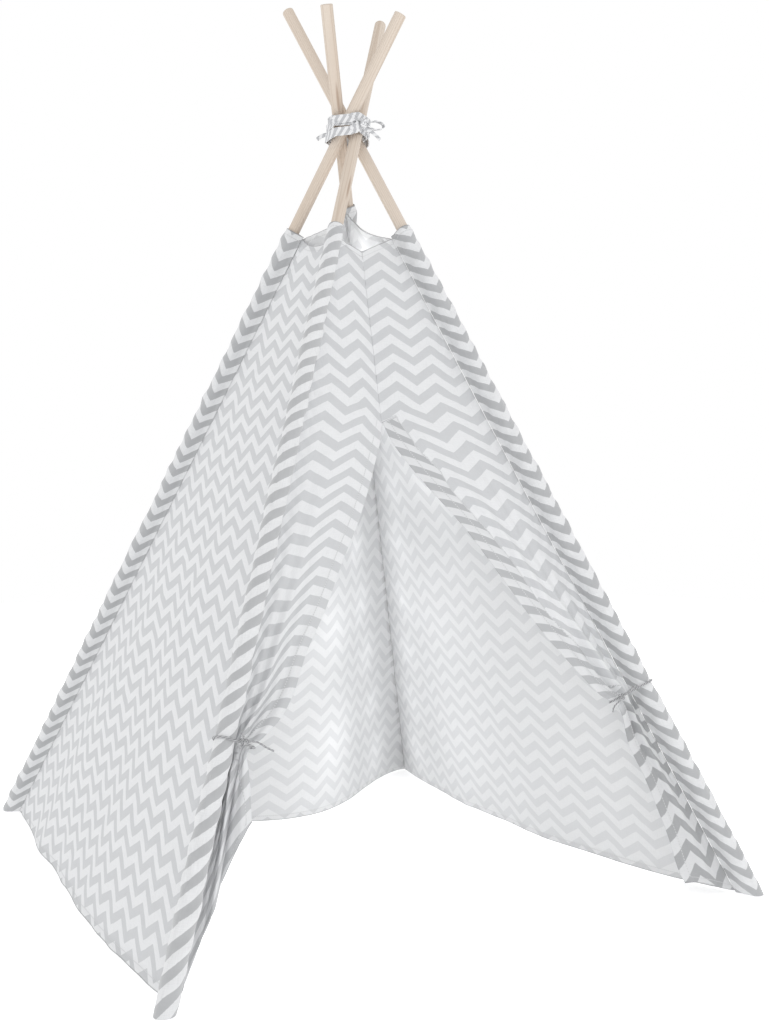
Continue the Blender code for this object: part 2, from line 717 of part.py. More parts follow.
def resample(points, step):
    points = np.array(points, float)
    s = polyline_lengths(points)
    count = max(2, int(round(s[-1] / step)))
    want = np.linspace(0, s[-1], count + 1)
    return [np.array([np.interp(w, s, points[:, k]) for k in range(3)]) for w in want]


def knot_reach(body, centre_point, direction):
    """How far a knot reaches from its middle along a direction."""
    places = [v.co + body.location for v in body.data.vertices]
    tree = BVHTree.FromPolygons(places, [tuple(f.vertices) for f in body.data.polygons])
    return tree.ray_cast(Vector(centre_point), Vector(direction))[3]


def tie(side_name, side_body, ends):
    info = FRONT[side_name]
    leg_name = info["leg"]
    leg = LEGS[leg_name]
    r = info["tie_row"]
    at = info["grid"][r, -1]
    normal = leg["down"]
    u_dir, v_dir = leg["inward"], leg["across"]

    def flat(points):
        rel = np.array(points) - at
        return np.stack([rel @ u_dir, rel @ v_dir], axis=1)

    front_body = front_left if side_name == "left" else front_right
    sleeve = bpy.data.objects[f"sleeve_{leg_name}"]
    hem = bpy.data.objects[f"door_hem_{side_name}"]
    near = []
    for body in (front_body, sleeve, hem):
        # the string's own height above and below its plane counts too
        for shift in (-STRING_DIAMETER, 0.0, STRING_DIAMETER):
            near.append(flat(section(body, at + normal * shift, normal)))
    near = np.vstack(near)
    keep = np.linalg.norm(near, axis=1) < SLEEVE_SEAM_REACH * 6
    near = near[keep]
    panel = flat(section(side_body, at, normal))
    centre = near.mean(axis=0)
    off = STRING_CLEARANCE + STRING_DIAMETER / 2
    ring = []
    for k in range(144):
        q = 2 * math.pi * k / 144
        n = np.array([math.cos(q), math.sin(q)])
        ring.append(near[np.argmax(near @ n)] + n * off)
    ring = np.array(ring)
    # even points round the closed line
    closed = np.vstack([ring, ring[:1]])
    s = polyline_lengths(closed)
    want = np.linspace(0, s[-1], 181)[:-1]
    ring = np.stack([np.interp(want, s, closed[:, k]) for k in range(2)], axis=1)
    gap = np.array([np.min(np.linalg.norm(panel - p, axis=1)) for p in ring])
    free = gap > STRING_DIAMETER / 2 + STRING_CLEARANCE * 2 + CLOTH_THICKNESS
    # the panel's section has few points, so its segments are tested as well
    order = np.argsort(panel @ unit(panel[-1] - panel[0]))
    line = panel[order]
    for i, p in enumerate(ring):
        for a, b in zip(line[:-1], line[1:]):
            ab = b - a
            t = np.clip(np.dot(p - a, ab) / max(np.dot(ab, ab), 1e-12), 0, 1)
            if np.linalg.norm(p - a - ab * t) < STRING_DIAMETER / 2 + STRING_CLEARANCE + CLOTH_THICKNESS:
                free[i] = False
    blocked = np.where(~free)[0]
    count = len(ring)
    if len(blocked):
        # start just after the blocked stretch and go round to just before it
        gaps = [(int(b), int(blocked[(k + 1) % len(blocked)])) for k, b in enumerate(blocked)]
        best = max(gaps, key=lambda g: (g[1] - g[0]) % count)
        run = [(best[0] + 1 + k) % count for k in range((best[1] - best[0]) % count - 1)]
    else:
        run = list(range(count))
    line3 = [at + u_dir * ring[i][0] + v_dir * ring[i][1] for i in run]
    pts = resample(line3, STRING_POINT_STEP)
    tube(f"tie_string_{side_name}", pts, STRING_DIAMETER, STRIP, KNOT)
    print(f"tie string {side_name}: length {polyline_lengths(np.array(pts))[-1] * 1000:.0f} mm, {len(pts)} points")
    # the knot, outside, near the gathered flap's free edge
    out = unit(info["normal"][r, 8])
    goal = at + out * STRING_KNOT_SIZE * 3
    k = int(np.argmin([np.linalg.norm(p - goal) for p in pts]))
    k = min(max(k, 2), len(pts) - 3)
    tangent = unit(pts[k + 1] - pts[k - 1])
    face = unit(out - tangent * np.dot(out, tangent))
    stand_off = STRING_DIAMETER / 2 + STRING_CLEARANCE * 0.8 + STRING_KNOT_SIZE * KNOT_GIRTH_share
    knot_point = pts[k] + face * stand_off
    knot_body = lump(f"tie_knot_{side_name}", knot_point, face, STRING_KNOT_SIZE, STRIP, KNOT)
    side = unit(np.cross([0, 0, 1.0], face))
    rise = np.cross(face, side)
    for number, (across, up, forward, drop, share) in enumerate(ends, 1):
        direction = unit(side * across + rise * up + face * forward)
        start = knot_point + direction * (knot_reach(knot_body, knot_point, direction) + STRING_CLEARANCE * 1.8)
        length = TIE_END_LENGTH * share
        line = []
        for i in range(9):
            t = i / 8
            fall = np.array([0, 0, -1.0]) * drop * t * t
            sway = side * TIE_END_SWAY_share * math.sin(2 * math.pi * t)
            line.append(start + length * (direction * t + fall + sway))
        line = resample(line, STRING_DIAMETER * 2.2)
        line.insert(1, line[0] + direction * STRING_DIAMETER)
        tube(f"tie_end_{side_name}_{number}", line, STRING_DIAMETER * 0.8, STRIP, KNOT)
    FRONT[side_name]["knot"] = knot_point
    return knot_point


left_knot = tie("left", panel_left, ((1.0, -0.25, 0.35, 0.35, 1.0), (-0.55, 0.5, 0.75, 0.2, 0.55)))
right_knot = tie("right", panel_right, ((-0.8, -0.7, 0.45, 0.25, 0.8), (0.75, 0.55, 0.55, 0.1, 0.8)))

for obj in part.objects:
    obj.data.update()

for name, leg in LEGS.items():
    fold = math.degrees(leg["fold"])
    place = [round(float(x), 5) for x in leg["crossing"]]
    axis = [round(float(x), 5) for x in leg["axis"]]
    foot = [round(float(x), 4) for x in leg["foot"]]
    print(f"leg {name}: crossing {place} axis {axis} fold {fold:.2f} foot {foot} sleeve top {leg['top_height']:.4f}")
for side_name in ("left", "right"):
    info = FRONT[side_name]
    tie_point = [round(float(x), 4) for x in info["grid"][info["tie_row"], -1]]
    corner = [round(float(x), 4) for x in info["grid"][0, -1]]
    knot_place = [round(float(x), 4) for x in info["knot"]]
    print(f"front {side_name}: tie {tie_point} corner {corner} knot {knot_place}")
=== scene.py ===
# %% [markdown]
# # A kids teepee, made of cloth, wood and cord
#
# Four pine poles lean together and a cloth strip binds them near the top. A cotton cover with a
# printed zigzag hangs between them, each pole inside a sewn sleeve of the same cloth. The front is
# two halves that are sewn together down to the top of the doorway. Below it they are drawn aside
# and tied to the front poles.
# We start from the jointed frame: its poles stay, and the cloth is made afresh around them.

# %% Start with the frame
import math

import bmesh
import bpy
import numpy as np
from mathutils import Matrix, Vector


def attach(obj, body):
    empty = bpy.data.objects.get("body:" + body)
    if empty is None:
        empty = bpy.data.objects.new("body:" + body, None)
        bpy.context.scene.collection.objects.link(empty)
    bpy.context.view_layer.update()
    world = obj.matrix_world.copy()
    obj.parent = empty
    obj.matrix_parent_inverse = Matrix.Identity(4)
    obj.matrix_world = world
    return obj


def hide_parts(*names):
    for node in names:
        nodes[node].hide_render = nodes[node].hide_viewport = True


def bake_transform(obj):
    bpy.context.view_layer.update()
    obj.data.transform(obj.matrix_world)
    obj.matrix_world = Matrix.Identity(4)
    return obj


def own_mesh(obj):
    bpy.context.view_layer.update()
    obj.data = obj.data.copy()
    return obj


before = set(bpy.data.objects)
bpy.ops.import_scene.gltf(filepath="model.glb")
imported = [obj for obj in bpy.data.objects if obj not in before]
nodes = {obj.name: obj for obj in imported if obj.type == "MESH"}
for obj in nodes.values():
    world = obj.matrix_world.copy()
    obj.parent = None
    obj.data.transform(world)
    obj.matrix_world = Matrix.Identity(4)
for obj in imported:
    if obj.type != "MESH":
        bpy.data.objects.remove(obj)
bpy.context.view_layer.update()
print("frame:", len(nodes), "nodes")

# %% [markdown]
# ## Where we stand
#
# The camera stands in front of the teepee and to its left, at the height of a child's head.
# It looks very slightly upwards, through a lens of medium length. A camera could be moved by eye until
# the view fits. This one was fitted to the four straight poles, which fix its place, turn and lens.

# %% Camera at the photograph's place
EYE = (-0.8730, -1.8767, 0.5602)
YAW, NOD, ROLL = 0.4860, -0.0350, -0.0010
LENS, SENSOR = 38.016, 36.0


def put_camera():
    forward = Vector((math.sin(YAW) * math.cos(NOD), math.cos(YAW) * math.cos(NOD), -math.sin(NOD)))
    right = Vector((math.cos(YAW), -math.sin(YAW), 0.0))
    up = right.cross(forward)
    side = right * math.cos(ROLL) + up * math.sin(ROLL)
    top = up * math.cos(ROLL) - right * math.sin(ROLL)
    data = bpy.data.cameras.new("camera")
    data.sensor_fit = "VERTICAL"
    data.sensor_height = SENSOR
    data.lens = LENS
    data.clip_end = 60.0
    camera = bpy.data.objects.new("camera", data)
    bpy.context.scene.collection.objects.link(camera)
    turn = camera.matrix_world.copy()
    for row in range(3):
        turn[row][0], turn[row][1], turn[row][2] = side[row], top[row], -forward[row]
    turn.translation = EYE
    camera.matrix_world = turn
    bpy.context.scene.camera = camera
    return camera


camera = put_camera()
print("camera at", [round(x, 3) for x in camera.location])

# %% [markdown]
# ## The room
#
# Soft daylight from everywhere: a white surround, a large weak lamp in front and one on the left.
# Thin cotton lets daylight through, so inside it is nearly as bright as outside. Small round lamps
# that the camera can't see stand inside for that light: left and right of where the cloth closes as
# the teepee folds, and in a row up its far corner. The floor glows a little by itself, so that only a
# faint shadow shows where the cloth touches it.

# %% Light: each lamp's name, place, size and power
LAMPS = (
    ("key", (0.9, -4.2, 1.9), 2.6, 12.0),
    ("fill", (-3.4, -2.2, 2.4), 2.8, 3.0),
)
GLOW = (
    ("glow_peak", (0.004, -0.072, 1.090), 0.02, 0.10),
    ("glow_neck_left", (-0.055, -0.082, 0.900), 0.02, 0.065),
    ("glow_neck_right", (0.045, -0.082, 0.900), 0.02, 0.065),
    ("glow_top_left", (-0.100, -0.085, 0.700), 0.03, 0.13),
    ("glow_top_right", (0.095, -0.085, 0.700), 0.03, 0.13),
    ("glow_middle_left", (-0.160, -0.080, 0.440), 0.08, 0.11),
    ("glow_middle_right", (0.100, -0.080, 0.440), 0.08, 0.10),
    ("glow_low", (-0.040, -0.130, 0.210), 0.12, 0.28),
    ("glow_far_middle", (0.130, 0.090, 0.390), 0.12, 0.25),
    ("glow_far_low", (0.180, 0.150, 0.140), 0.10, 0.24),
    ("glow_corner_1", (0.085, 0.045, 0.800), 0.04, 0.060),
    ("glow_corner_2", (0.136, 0.105, 0.680), 0.05, 0.050),
    ("glow_corner_3", (0.183, 0.164, 0.560), 0.05, 0.050),
    ("glow_corner_4", (0.228, 0.224, 0.440), 0.05, 0.050),
    ("glow_corner_5", (0.272, 0.285, 0.320), 0.05, 0.050),
    ("glow_corner_6", (0.317, 0.346, 0.200), 0.05, 0.050),
    ("glow_corner_7", (0.361, 0.406, 0.080), 0.05, 0.050),
)


def put_lamp(name, kind, place, power):
    data = bpy.data.lights.new(name, kind)
    data.energy = power
    lamp = bpy.data.objects.new(name, data)
    lamp.location = place
    bpy.context.scene.collection.objects.link(lamp)
    return lamp


def put_lamps():
    aim = Vector((0.0, 0.0, 0.6))
    for name, place, size, power in LAMPS:
        lamp = put_lamp(name, "AREA", place, power)
        lamp.data.size = size
        lamp.data.color = (1.0, 0.995, 0.985)
        lamp.rotation_euler = (aim - Vector(place)).to_track_quat("-Z", "Y").to_euler()
    for name, place, size, power in GLOW:
        glow = put_lamp(name, "POINT", place, power)
        glow.data.shadow_soft_size = size
        glow.visible_camera = False
    world = bpy.data.worlds.new("daylight")
    world.use_nodes = True
    sky = world.node_tree.nodes["Background"]
    sky.inputs["Color"].default_value = (1.0, 1.0, 1.0, 1.0)
    sky.inputs["Strength"].default_value = 1.0
    bpy.context.scene.world = world
    bpy.context.scene.view_settings.view_transform = "Standard"


put_lamps()
print("lamps:", len(LAMPS), "outside,", len(GLOW), "inside")

# %% [markdown]
# ## A small language for surfaces
#
# A surface is a little sum: where are we on the cloth, how far to the next stripe, is there thread
# here. In Blender such a sum is a chain of nodes, which could be added and linked one by one. With
# a small class for numbers we write plus and times instead, which is easier to read.

# %% Numbers on a surface
def feed(tree, slot, value):
    """Gives a node's slot what another node says, or a plain number or colour."""
    if isinstance(value, Value):
        tree.links.new(value.socket, slot)
    elif hasattr(value, "is_output"):
        tree.links.new(value, slot)
    else:
        slot.default_value = value


class Value:
    """A number on a surface, which can be added to, multiplied and so on."""

    def __init__(self, tree, socket):
        self.tree = tree
        self.socket = socket

    def math(self, kind, *others):
        node = self.tree.nodes.new("ShaderNodeMath")
        node.operation = kind
        for slot, item in zip(node.inputs, (self, *others)):
            feed(self.tree, slot, item)
        return Value(self.tree, node.outputs[0])

    def __add__(self, other):
        return self.math("ADD", other)

    def __sub__(self, other):
        return self.math("SUBTRACT", other)

    def __mul__(self, other):
        return self.math("MULTIPLY", other)

    def __truediv__(self, other):
        return self.math("DIVIDE", other)

    __radd__ = __add__
    __rmul__ = __mul__

    def fract(self):
        return self.math("FRACT")

    def abs(self):
        return self.math("ABSOLUTE")

    def sine(self):
        return self.math("SINE")

    def most(self, other):
        return self.math("MAXIMUM", other)

    def wave(self):
        """A zigzag from 1 down to 0 and up again over each whole number."""
        return (self.fract() - 0.5).abs() * 2.0

    def step(self, start, end):
        """0 before start, 1 after end, with a soft change between."""
        node = self.tree.nodes.new("ShaderNodeMapRange")
        node.interpolation_type = "SMOOTHSTEP"
        for name, value in (("Value", self), ("From Min", start), ("From Max", end)):
            feed(self.tree, node.inputs[name], value)
        return Value(self.tree, node.outputs[0])


print("numbers ready")

# %% Materials that are made of such numbers
class Surface:
    """One material with its own sums."""

    def __init__(self, name):
        self.material = bpy.data.materials.new(name)
        self.material.use_nodes = True
        self.tree = self.material.node_tree
        self.shader = self.tree.nodes["Principled BSDF"]

    def node(self, kind, settings=None, **inputs):
        node = self.tree.nodes.new("ShaderNode" + kind)
        for name, value in (settings or {}).items():
            setattr(node, name, value)
        for name, value in inputs.items():
            slot = node.inputs[int(name[1:]) if name[1:].isdigit() else name]
            feed(self.tree, slot, value)
        return node

    def cloth_place(self):
        """Where we are on the flat cloth, in metres, across and along."""
        parts = self.node("SeparateXYZ", _0=self.node("UVMap", {"uv_map": "cloth"}).outputs[0])
        return Value(self.tree, parts.outputs[0]), Value(self.tree, parts.outputs[1])

    def cloth_vector(self):
        return self.node("UVMap", {"uv_map": "cloth"}).outputs[0]

    def object_vector(self):
        return self.node("TexCoord").outputs["Object"]

    def attribute(self, name):
        return Value(self.tree, self.node("Attribute", {"attribute_name": name}).outputs["Fac"])

    def noise(self, vector, scale, detail=2.0, rough=0.5):
        made = self.node("TexNoise", Vector=vector, Scale=scale, Detail=detail, Roughness=rough)
        return Value(self.tree, made.outputs[0])

    def stretched(self, vector, by):
        return self.node("VectorMath", {"operation": "MULTIPLY"}, _0=vector, _1=by).outputs[0]

    def joined(self, x, y, z):
        return self.node("CombineXYZ", _0=x, _1=y, _2=z).outputs[0]

    def mix(self, share, one, other):
        node = self.node("Mix", {"data_type": "RGBA"}, _0=share)
        for slot, colour in ((node.inputs[6], one), (node.inputs[7], other)):
            feed(self.tree, slot, colour if hasattr(colour, "is_output") else (*colour, 1.0))
        return node.outputs[2]

    def put(self, name, value):
        feed(self.tree, self.shader.inputs[name], value)

    def bump(self, *heights):
        """Heights in metres, laid one over the other."""
        normal = None
        for height in heights:
            node = self.node("Bump", Height=height, Strength=1.0, Distance=1.0)
            if normal is not None:
                self.tree.links.new(normal, node.inputs["Normal"])
            normal = node.outputs[0]
        self.put("Normal", normal)


print("materials ready")

# %% [markdown]
# ## The printed cotton
#
# The cloth is a plain weave cotton, off-white, printed with rows of a zigzag in light grey. A row
# repeats every 38 mm and the zigzag every 72 mm. The dye lies on one face only, so the other face
# shows the same rows, paler. The rows wander by a few millimetres, the stripe's edge wavers where ink
# crept along threads, and a hem shows as a line of stitches; painted shade darkens its stitched groove
# and its very edge. Where cloth lies double it is painted darker: partly the dye of the layer beneath,
# partly painted shade for the daylight that the doubled cloth stops.
# A picture could hold all this. Sums stay sharp from near by, and each piece can be cut its own way.

# %% Cotton, printed and plain
PITCH = 0.038
PERIOD = 0.072
ZIGZAG = 0.027
THREAD = 0.00062
HEM = 0.012
STITCH_LINE = 0.0105
STITCH = 0.0042


def toned(colour, by):
    return tuple(c * by for c in colour)


def weave(s, across, along):
    warp = (across * (2 * math.pi / THREAD)).sine()
    weft = (along * (2 * math.pi / THREAD)).sine()
    return (warp * weft) * 0.00003


def printed(
        name, white, grey, pitch=PITCH, period=PERIOD, zigzag=ZIGZAG, stitches=True, sheen=0.12, sway=0.009):
    s = Surface(name)
    across, along = s.cloth_place()
    place = s.cloth_vector()
    creep = (s.noise(place, 420.0, 3.0) - 0.5) * 0.0016 + (s.noise(place, 13.0, 2.0) - 0.5) * sway
    crest = (across / period).wave() * zigzag
    row = ((along + crest + creep) / pitch).wave()
    ink = row.step(0.46, 0.54)
    worn = s.noise(place, 55.0, 4.0, 0.6)
    slub = s.noise(s.stretched(place, (900.0, 60.0, 1.0)), 1.0, 2.0)
    slub_two = s.noise(s.stretched(place, (60.0, 900.0, 1.0)), 1.0, 2.0)
    ink = ink * (0.90 + 0.14 * worn)
    base = s.mix(ink, white, grey)
    if stitches:
        # painted shade: where the cloth lies double it is darkened, partly for the dye of the layer beneath,
        # partly for the daylight that the doubled cloth stops
        deep = s.mix(ink, toned(white, 0.83), toned(grey, 0.53))
        base = s.mix(s.attribute("double"), base, deep)
    threads = (slub + slub_two) * 0.5
    tint = s.mix((threads.step(0.35, 0.75)) * 0.22, base, toned(grey, 0.82))
    if stitches:
        hem = s.attribute("hem")
        line = ((hem - STITCH_LINE).abs()).step(0.0009, 0.0004)
        run = s.attribute("run")
        dash = (run / STITCH).wave().step(0.20, 0.34)
        sewn = line * dash
        # painted shade: the stitched groove and the hem's very edge are darkened towards grey
        edge = hem.step(0.0024, 0.0006) * 0.75
        tint = s.mix((line * 0.40).most(edge), tint, toned(grey, 0.50))
        tint = s.mix(sewn * 0.6, tint, toned(white, 0.97))
    s.put("Base Color", tint)
    s.put("Roughness", 0.86 + 0.10 * threads)
    s.put("Sheen Weight", sheen)
    s.put("Sheen Roughness", 0.6)
    s.put("Specular IOR Level", 0.25)
    crease = s.noise(place, 38.0, 5.0, 0.55) * 0.0011
    heights = [crease, weave(s, across, along) + threads * 0.00012]
    if stitches:
        heights.append((sewn - line * 0.8) * 0.00035)
    s.bump(*heights)
    return s.material


WHITE = (0.738, 0.745, 0.757)
GREY = (0.560, 0.569, 0.583)
WHITE_BACK = (0.752, 0.757, 0.763)
GREY_BACK = (0.655, 0.661, 0.670)
outside = printed("zigzag_cotton", WHITE, GREY)
inside = printed("zigzag_cotton_reverse", WHITE_BACK, GREY_BACK)
# painted shade: the outer sleeve's print is toned darker than the walls', for the cloth that lies double round
# the pole and turns from the light
sleeve_out = printed(
    "sleeve_cotton", toned(WHITE, 0.96), toned(GREY, 0.72), 0.035, 0.070, 0.034, sheen=0.45, sway=0.018)
sleeve_in = printed("sleeve_cotton_reverse", WHITE_BACK, GREY_BACK, 0.034, 0.062, 0.030)
print("cotton surfaces:", outside.name, inside.name, sleeve_out.name, sleeve_in.name)

# %% [markdown]
# ## The legs' lines
#
# Everything is hung from four straight lines: a pole goes from its foot on the floor past the others
# at the lashing. The same numbers carry the frame, so each cloth edge falls on its pole.

# %% The four lines and the seams beside them
HALF_SPAN_X = 0.490
HALF_SPAN_Y = 0.5835
KNOT = np.array((-0.006, -0.095, 1.340))
POLE = 0.022
SEAM_REACH = 0.026
HEM_RISE = 0.003
CLOTH = 0.0012
TOP_GAP = 0.004
SLEEVE_OUTSIDE = 0.0136
POLE_OFFSET = 0.81 * POLE
EDGE_ANGLE = math.radians(58.0)
EDGE_OFFSET = 0.00112
LEGS = {
    "front_left": {"sx": -1, "sy": -1, "turn": 315, "top": 0.243},
    "front_right": {"sx": 1, "sy": -1, "turn": 45, "top": 0.216},
    "back_left": {"sx": -1, "sy": 1, "turn": 225, "top": 0.213},
    "back_right": {"sx": 1, "sy": 1, "turn": 135, "top": 0.139},
}


def unit(v):
    v = np.array(v, float)
    return v / np.linalg.norm(v)


for leg in LEGS.values():
    a = math.radians(leg["turn"])
    leg["crossing"] = KNOT + POLE_OFFSET * np.array([math.cos(a), math.sin(a), 0.0])
    leg["foot"] = np.array([leg["sx"] * HALF_SPAN_X, leg["sy"] * HALF_SPAN_Y, 0.0])
    d = leg["down"] = unit(leg["foot"] - leg["crossing"])
    flat = unit([d[0], d[1], 0.0])
    leg["inward"] = unit(-flat * -d[2] + np.array([0, 0, -1.0]) * math.hypot(d[0], d[1]))
    leg["across"] = np.cross(d, leg["inward"])
    leg["length"] = float(np.linalg.norm(leg["foot"] - leg["crossing"]))
    ring = [leg["crossing"] + SLEEVE_OUTSIDE * (math.cos(q) * leg["inward"] + math.sin(q) * leg["across"])
            + d * leg["top"] for q in np.linspace(0, 2 * math.pi, 25)]
    ring.append(leg["crossing"] + leg["inward"] * SEAM_REACH + d * leg["top"])
    leg["top_height"] = min(p[2] for p in ring)


def seam_point(name, z):
    leg = LEGS[name]
    p = leg["crossing"] + leg["inward"] * SEAM_REACH
    return p + leg["down"] * ((z - p[2]) / leg["down"][2])


def seam_edge(name, z, towards):
    leg = LEGS[name]
    side = 1.0 if np.dot(leg["across"], towards) > 0 else -1.0
    way = math.cos(EDGE_ANGLE) * leg["inward"] + side * math.sin(EDGE_ANGLE) * leg["across"]
    return seam_point(name, z) + EDGE_OFFSET * way


def tenths(points):
    """Points given in tenths of a millimetre."""
    return np.array(points, float) / 10000


def lengths(points):
    steps = np.linalg.norm(np.diff(np.array(points, float), axis=0), axis=1)
    return np.concatenate([[0.0], np.cumsum(steps)])


def ramp(value, width):
    """0 up to zero, then up to 1 over that width."""
    return np.clip(value / width, 0.0, 1.0)


def ripple(seed, x, y, size):
    """Smooth, uneven waves of about that size, the same on every run."""
    x = np.asarray(x, float) / size
    y = np.asarray(y, float) / size
    rng = np.random.default_rng(seed)
    table = rng.uniform(-1.0, 1.0, (64, 64))
    i, j = np.floor(x).astype(int), np.floor(y).astype(int)
    fx, fy = x - i, y - j
    fx, fy = fx * fx * (3 - 2 * fx), fy * fy * (3 - 2 * fy)
    a, b = table[i % 64, j % 64], table[(i + 1) % 64, j % 64]
    c, d = table[i % 64, (j + 1) % 64], table[(i + 1) % 64, (j + 1) % 64]
    return (a * (1 - fx) + b * fx) * (1 - fy) + (c * (1 - fx) + d * fx) * fy


print("legs:", {n: round(leg["length"], 3) for n, leg in LEGS.items()})

# %% [markdown]
# ## Cloth as a thin solid
#
# A sheet of cotton has two faces and a cut edge. Given the middle of the sheet as rows of points,
# this lays one face on each side and closes the rim, and notes for each point how far the next hem
# is, so that the stitches can run along it. A plain sheet with a thickness modifier would be quicker.
# Laid point by point, every part of the cloth knows its place on the print and how thick it is.

# %% A mesh and its place in the scene
def new_mesh(name, verts, faces, spots, surfaces):
    """A mesh with its materials, and with each corner's place on the flat cloth."""
    mesh = bpy.data.meshes.new(name)
    mesh.from_pydata(verts, [], faces)
    layer = mesh.uv_layers.new(name="cloth")
    layer.data.foreach_set("uv", np.array(spots, float).ravel())
    for surface in surfaces:
        mesh.materials.append(surface)
    return mesh


def new_piece(name, mesh, sharp):
    """Turns the faces outwards and puts the mesh in the scene, smooth up to sharp degrees of bend."""
    bm = bmesh.new()
    bm.from_mesh(mesh)
    if bm.calc_volume(signed=True) < 0:
        bmesh.ops.reverse_faces(bm, faces=bm.faces)
    bm.to_mesh(mesh)
    bm.free()
    piece = bpy.data.objects.new(name, mesh)
    bpy.context.scene.collection.objects.link(piece)
    bpy.ops.object.select_all(action="DESELECT")
    piece.select_set(True)
    bpy.context.view_layer.objects.active = piece
    bpy.ops.object.shade_smooth_by_angle(angle=math.radians(sharp))
    return piece


print("mesh maker ready")

# %% From a curved middle to a sheet with two faces
def sheet_mesh(name, middle, place, half, towards, surfaces, hem, run, double=0.0):
    """middle: rows x columns of points; place: where each lies on the flat cloth."""
    rows, cols = middle.shape[:2]
    half = np.broadcast_to(np.asarray(half, float), (rows, cols))
    along = np.gradient(middle, axis=0)
    over = np.gradient(middle, axis=1)
    normal = np.cross(over, along)
    normal /= np.maximum(np.linalg.norm(normal, axis=2)[:, :, None], 1e-12)
    out = towards(middle) if callable(towards) else np.broadcast_to(np.array(towards, float), middle.shape)
    sign = 1.0 if (normal * out).sum(axis=2).mean() > 0 else -1.0
    normal = normal * sign
    front = middle + normal * half[:, :, None]
    back = middle - normal * half[:, :, None]
    verts = np.concatenate([front.reshape(-1, 3), back.reshape(-1, 3)])
    n = rows * cols
    faces, slots, spots = [], [], []

    def quad(corners, at, slot=0, flip=False):
        order = -1 if flip else 1
        faces.append(corners[::order])
        spots.extend(at[::order])
        slots.append(slot)

    for r in range(rows - 1):
        for c in range(cols - 1):
            q = tuple(r * cols + c + k for k in (0, 1, cols + 1, cols))
            p = (place[r, c], place[r, c + 1], place[r + 1, c + 1], place[r + 1, c])
            quad(q, p, 0, sign < 0)
            quad(tuple(n + k for k in q), p, 1, sign > 0)
    rim = []
    last = (rows - 1) * cols
    for c in range(cols - 1):
        rim.append((c, c + 1, place[0, c], place[0, c + 1], False))
        rim.append((last + c, last + c + 1, place[-1, c], place[-1, c + 1], True))
    for r in range(rows - 1):
        a, b = r * cols, (r + 1) * cols
        rim.append((a, b, place[r, 0], place[r + 1, 0], True))
        rim.append((a + cols - 1, b + cols - 1, place[r, -1], place[r + 1, -1], False))
    for a, b, pa, pb, flip in rim:
        if flip != (sign > 0):
            a, b, pa, pb = b, a, pb, pa
        quad((a, b, n + b, n + a), (pa, pb, pb, pa))
    mesh = new_mesh(name, verts.tolist(), faces, spots, surfaces)
    mesh.polygons.foreach_set("material_index", slots)
    for title, values in (("hem", hem), ("run", run), ("double", double)):
        field = mesh.attributes.new(title, "FLOAT", "POINT")
        values = np.broadcast_to(values, (rows, cols)).reshape(-1)
        field.data.foreach_set("value", np.concatenate([values, values]).astype(np.float32))
    return new_piece(name, mesh, 48)


def hem_steps(total, count):
    """Even steps, with some extra ones at both ends so that a hem has an edge to fold at."""
    inner = np.linspace(0.0, 1.0, count)
    marks = np.array([0.0, 0.35, 0.86, 1.0, 1.2, 1.5]) * HEM / total
    inner = inner[(inner > marks[-1]) & (inner < 1 - marks[-1])]
    return np.unique(np.round(np.concatenate([marks, inner, 1 - marks]), 7))


def hem_thickness(distance):
    """Half the cloth's thickness: three layers in a hem, one elsewhere."""
    fold = ramp(HEM * 1.15 - distance, HEM * 0.3)
    dent = np.exp(-(((distance - STITCH_LINE) / 0.0012) ** 2))
    return CLOTH / 2 * (1.0 + 0.85 * fold * fold * (3 - 2 * fold) - 0.35 * dent * fold)


print("sheet maker ready")

# %% [markdown]
# ## Three walls of cotton
#
# The left, right and back walls hang between two poles each. The cloth is cut a little wide, so it
# sags: the back one deeply, the right one most near the doorway. The left one stands out instead.
# A wall shows soft upright folds that fade upwards, small puckers along its two seams, and the faint
# uneven dents that a cotton sheet keeps from its packet. A cloth simulation could drape it. A few
# curves and waves put each sag where it belongs, and come out the same in every run.

# %% Shape one wall
WALL_COLUMNS, WALL_ROWS, WALL_TALL = 131, 150, 1.25
TOP_DIP = 0.10
UPRIGHT_FOLD = 0.004
BROAD_DENT, SMALL_DENT = 0.0035, 0.0016
PUCKER, PUCKER_REACH, PUCKER_EVERY = 0.0024, 0.022, 0.031


def left_profile(u):
    return -0.030 * np.sin(math.pi * u**0.6)


def right_profile(u):
    return 0.090 * (1 - np.exp(-u / 0.18)) * (1 - u**3)


def back_profile(u):
    return 0.335 * np.sin(math.pi * u) ** 1.5


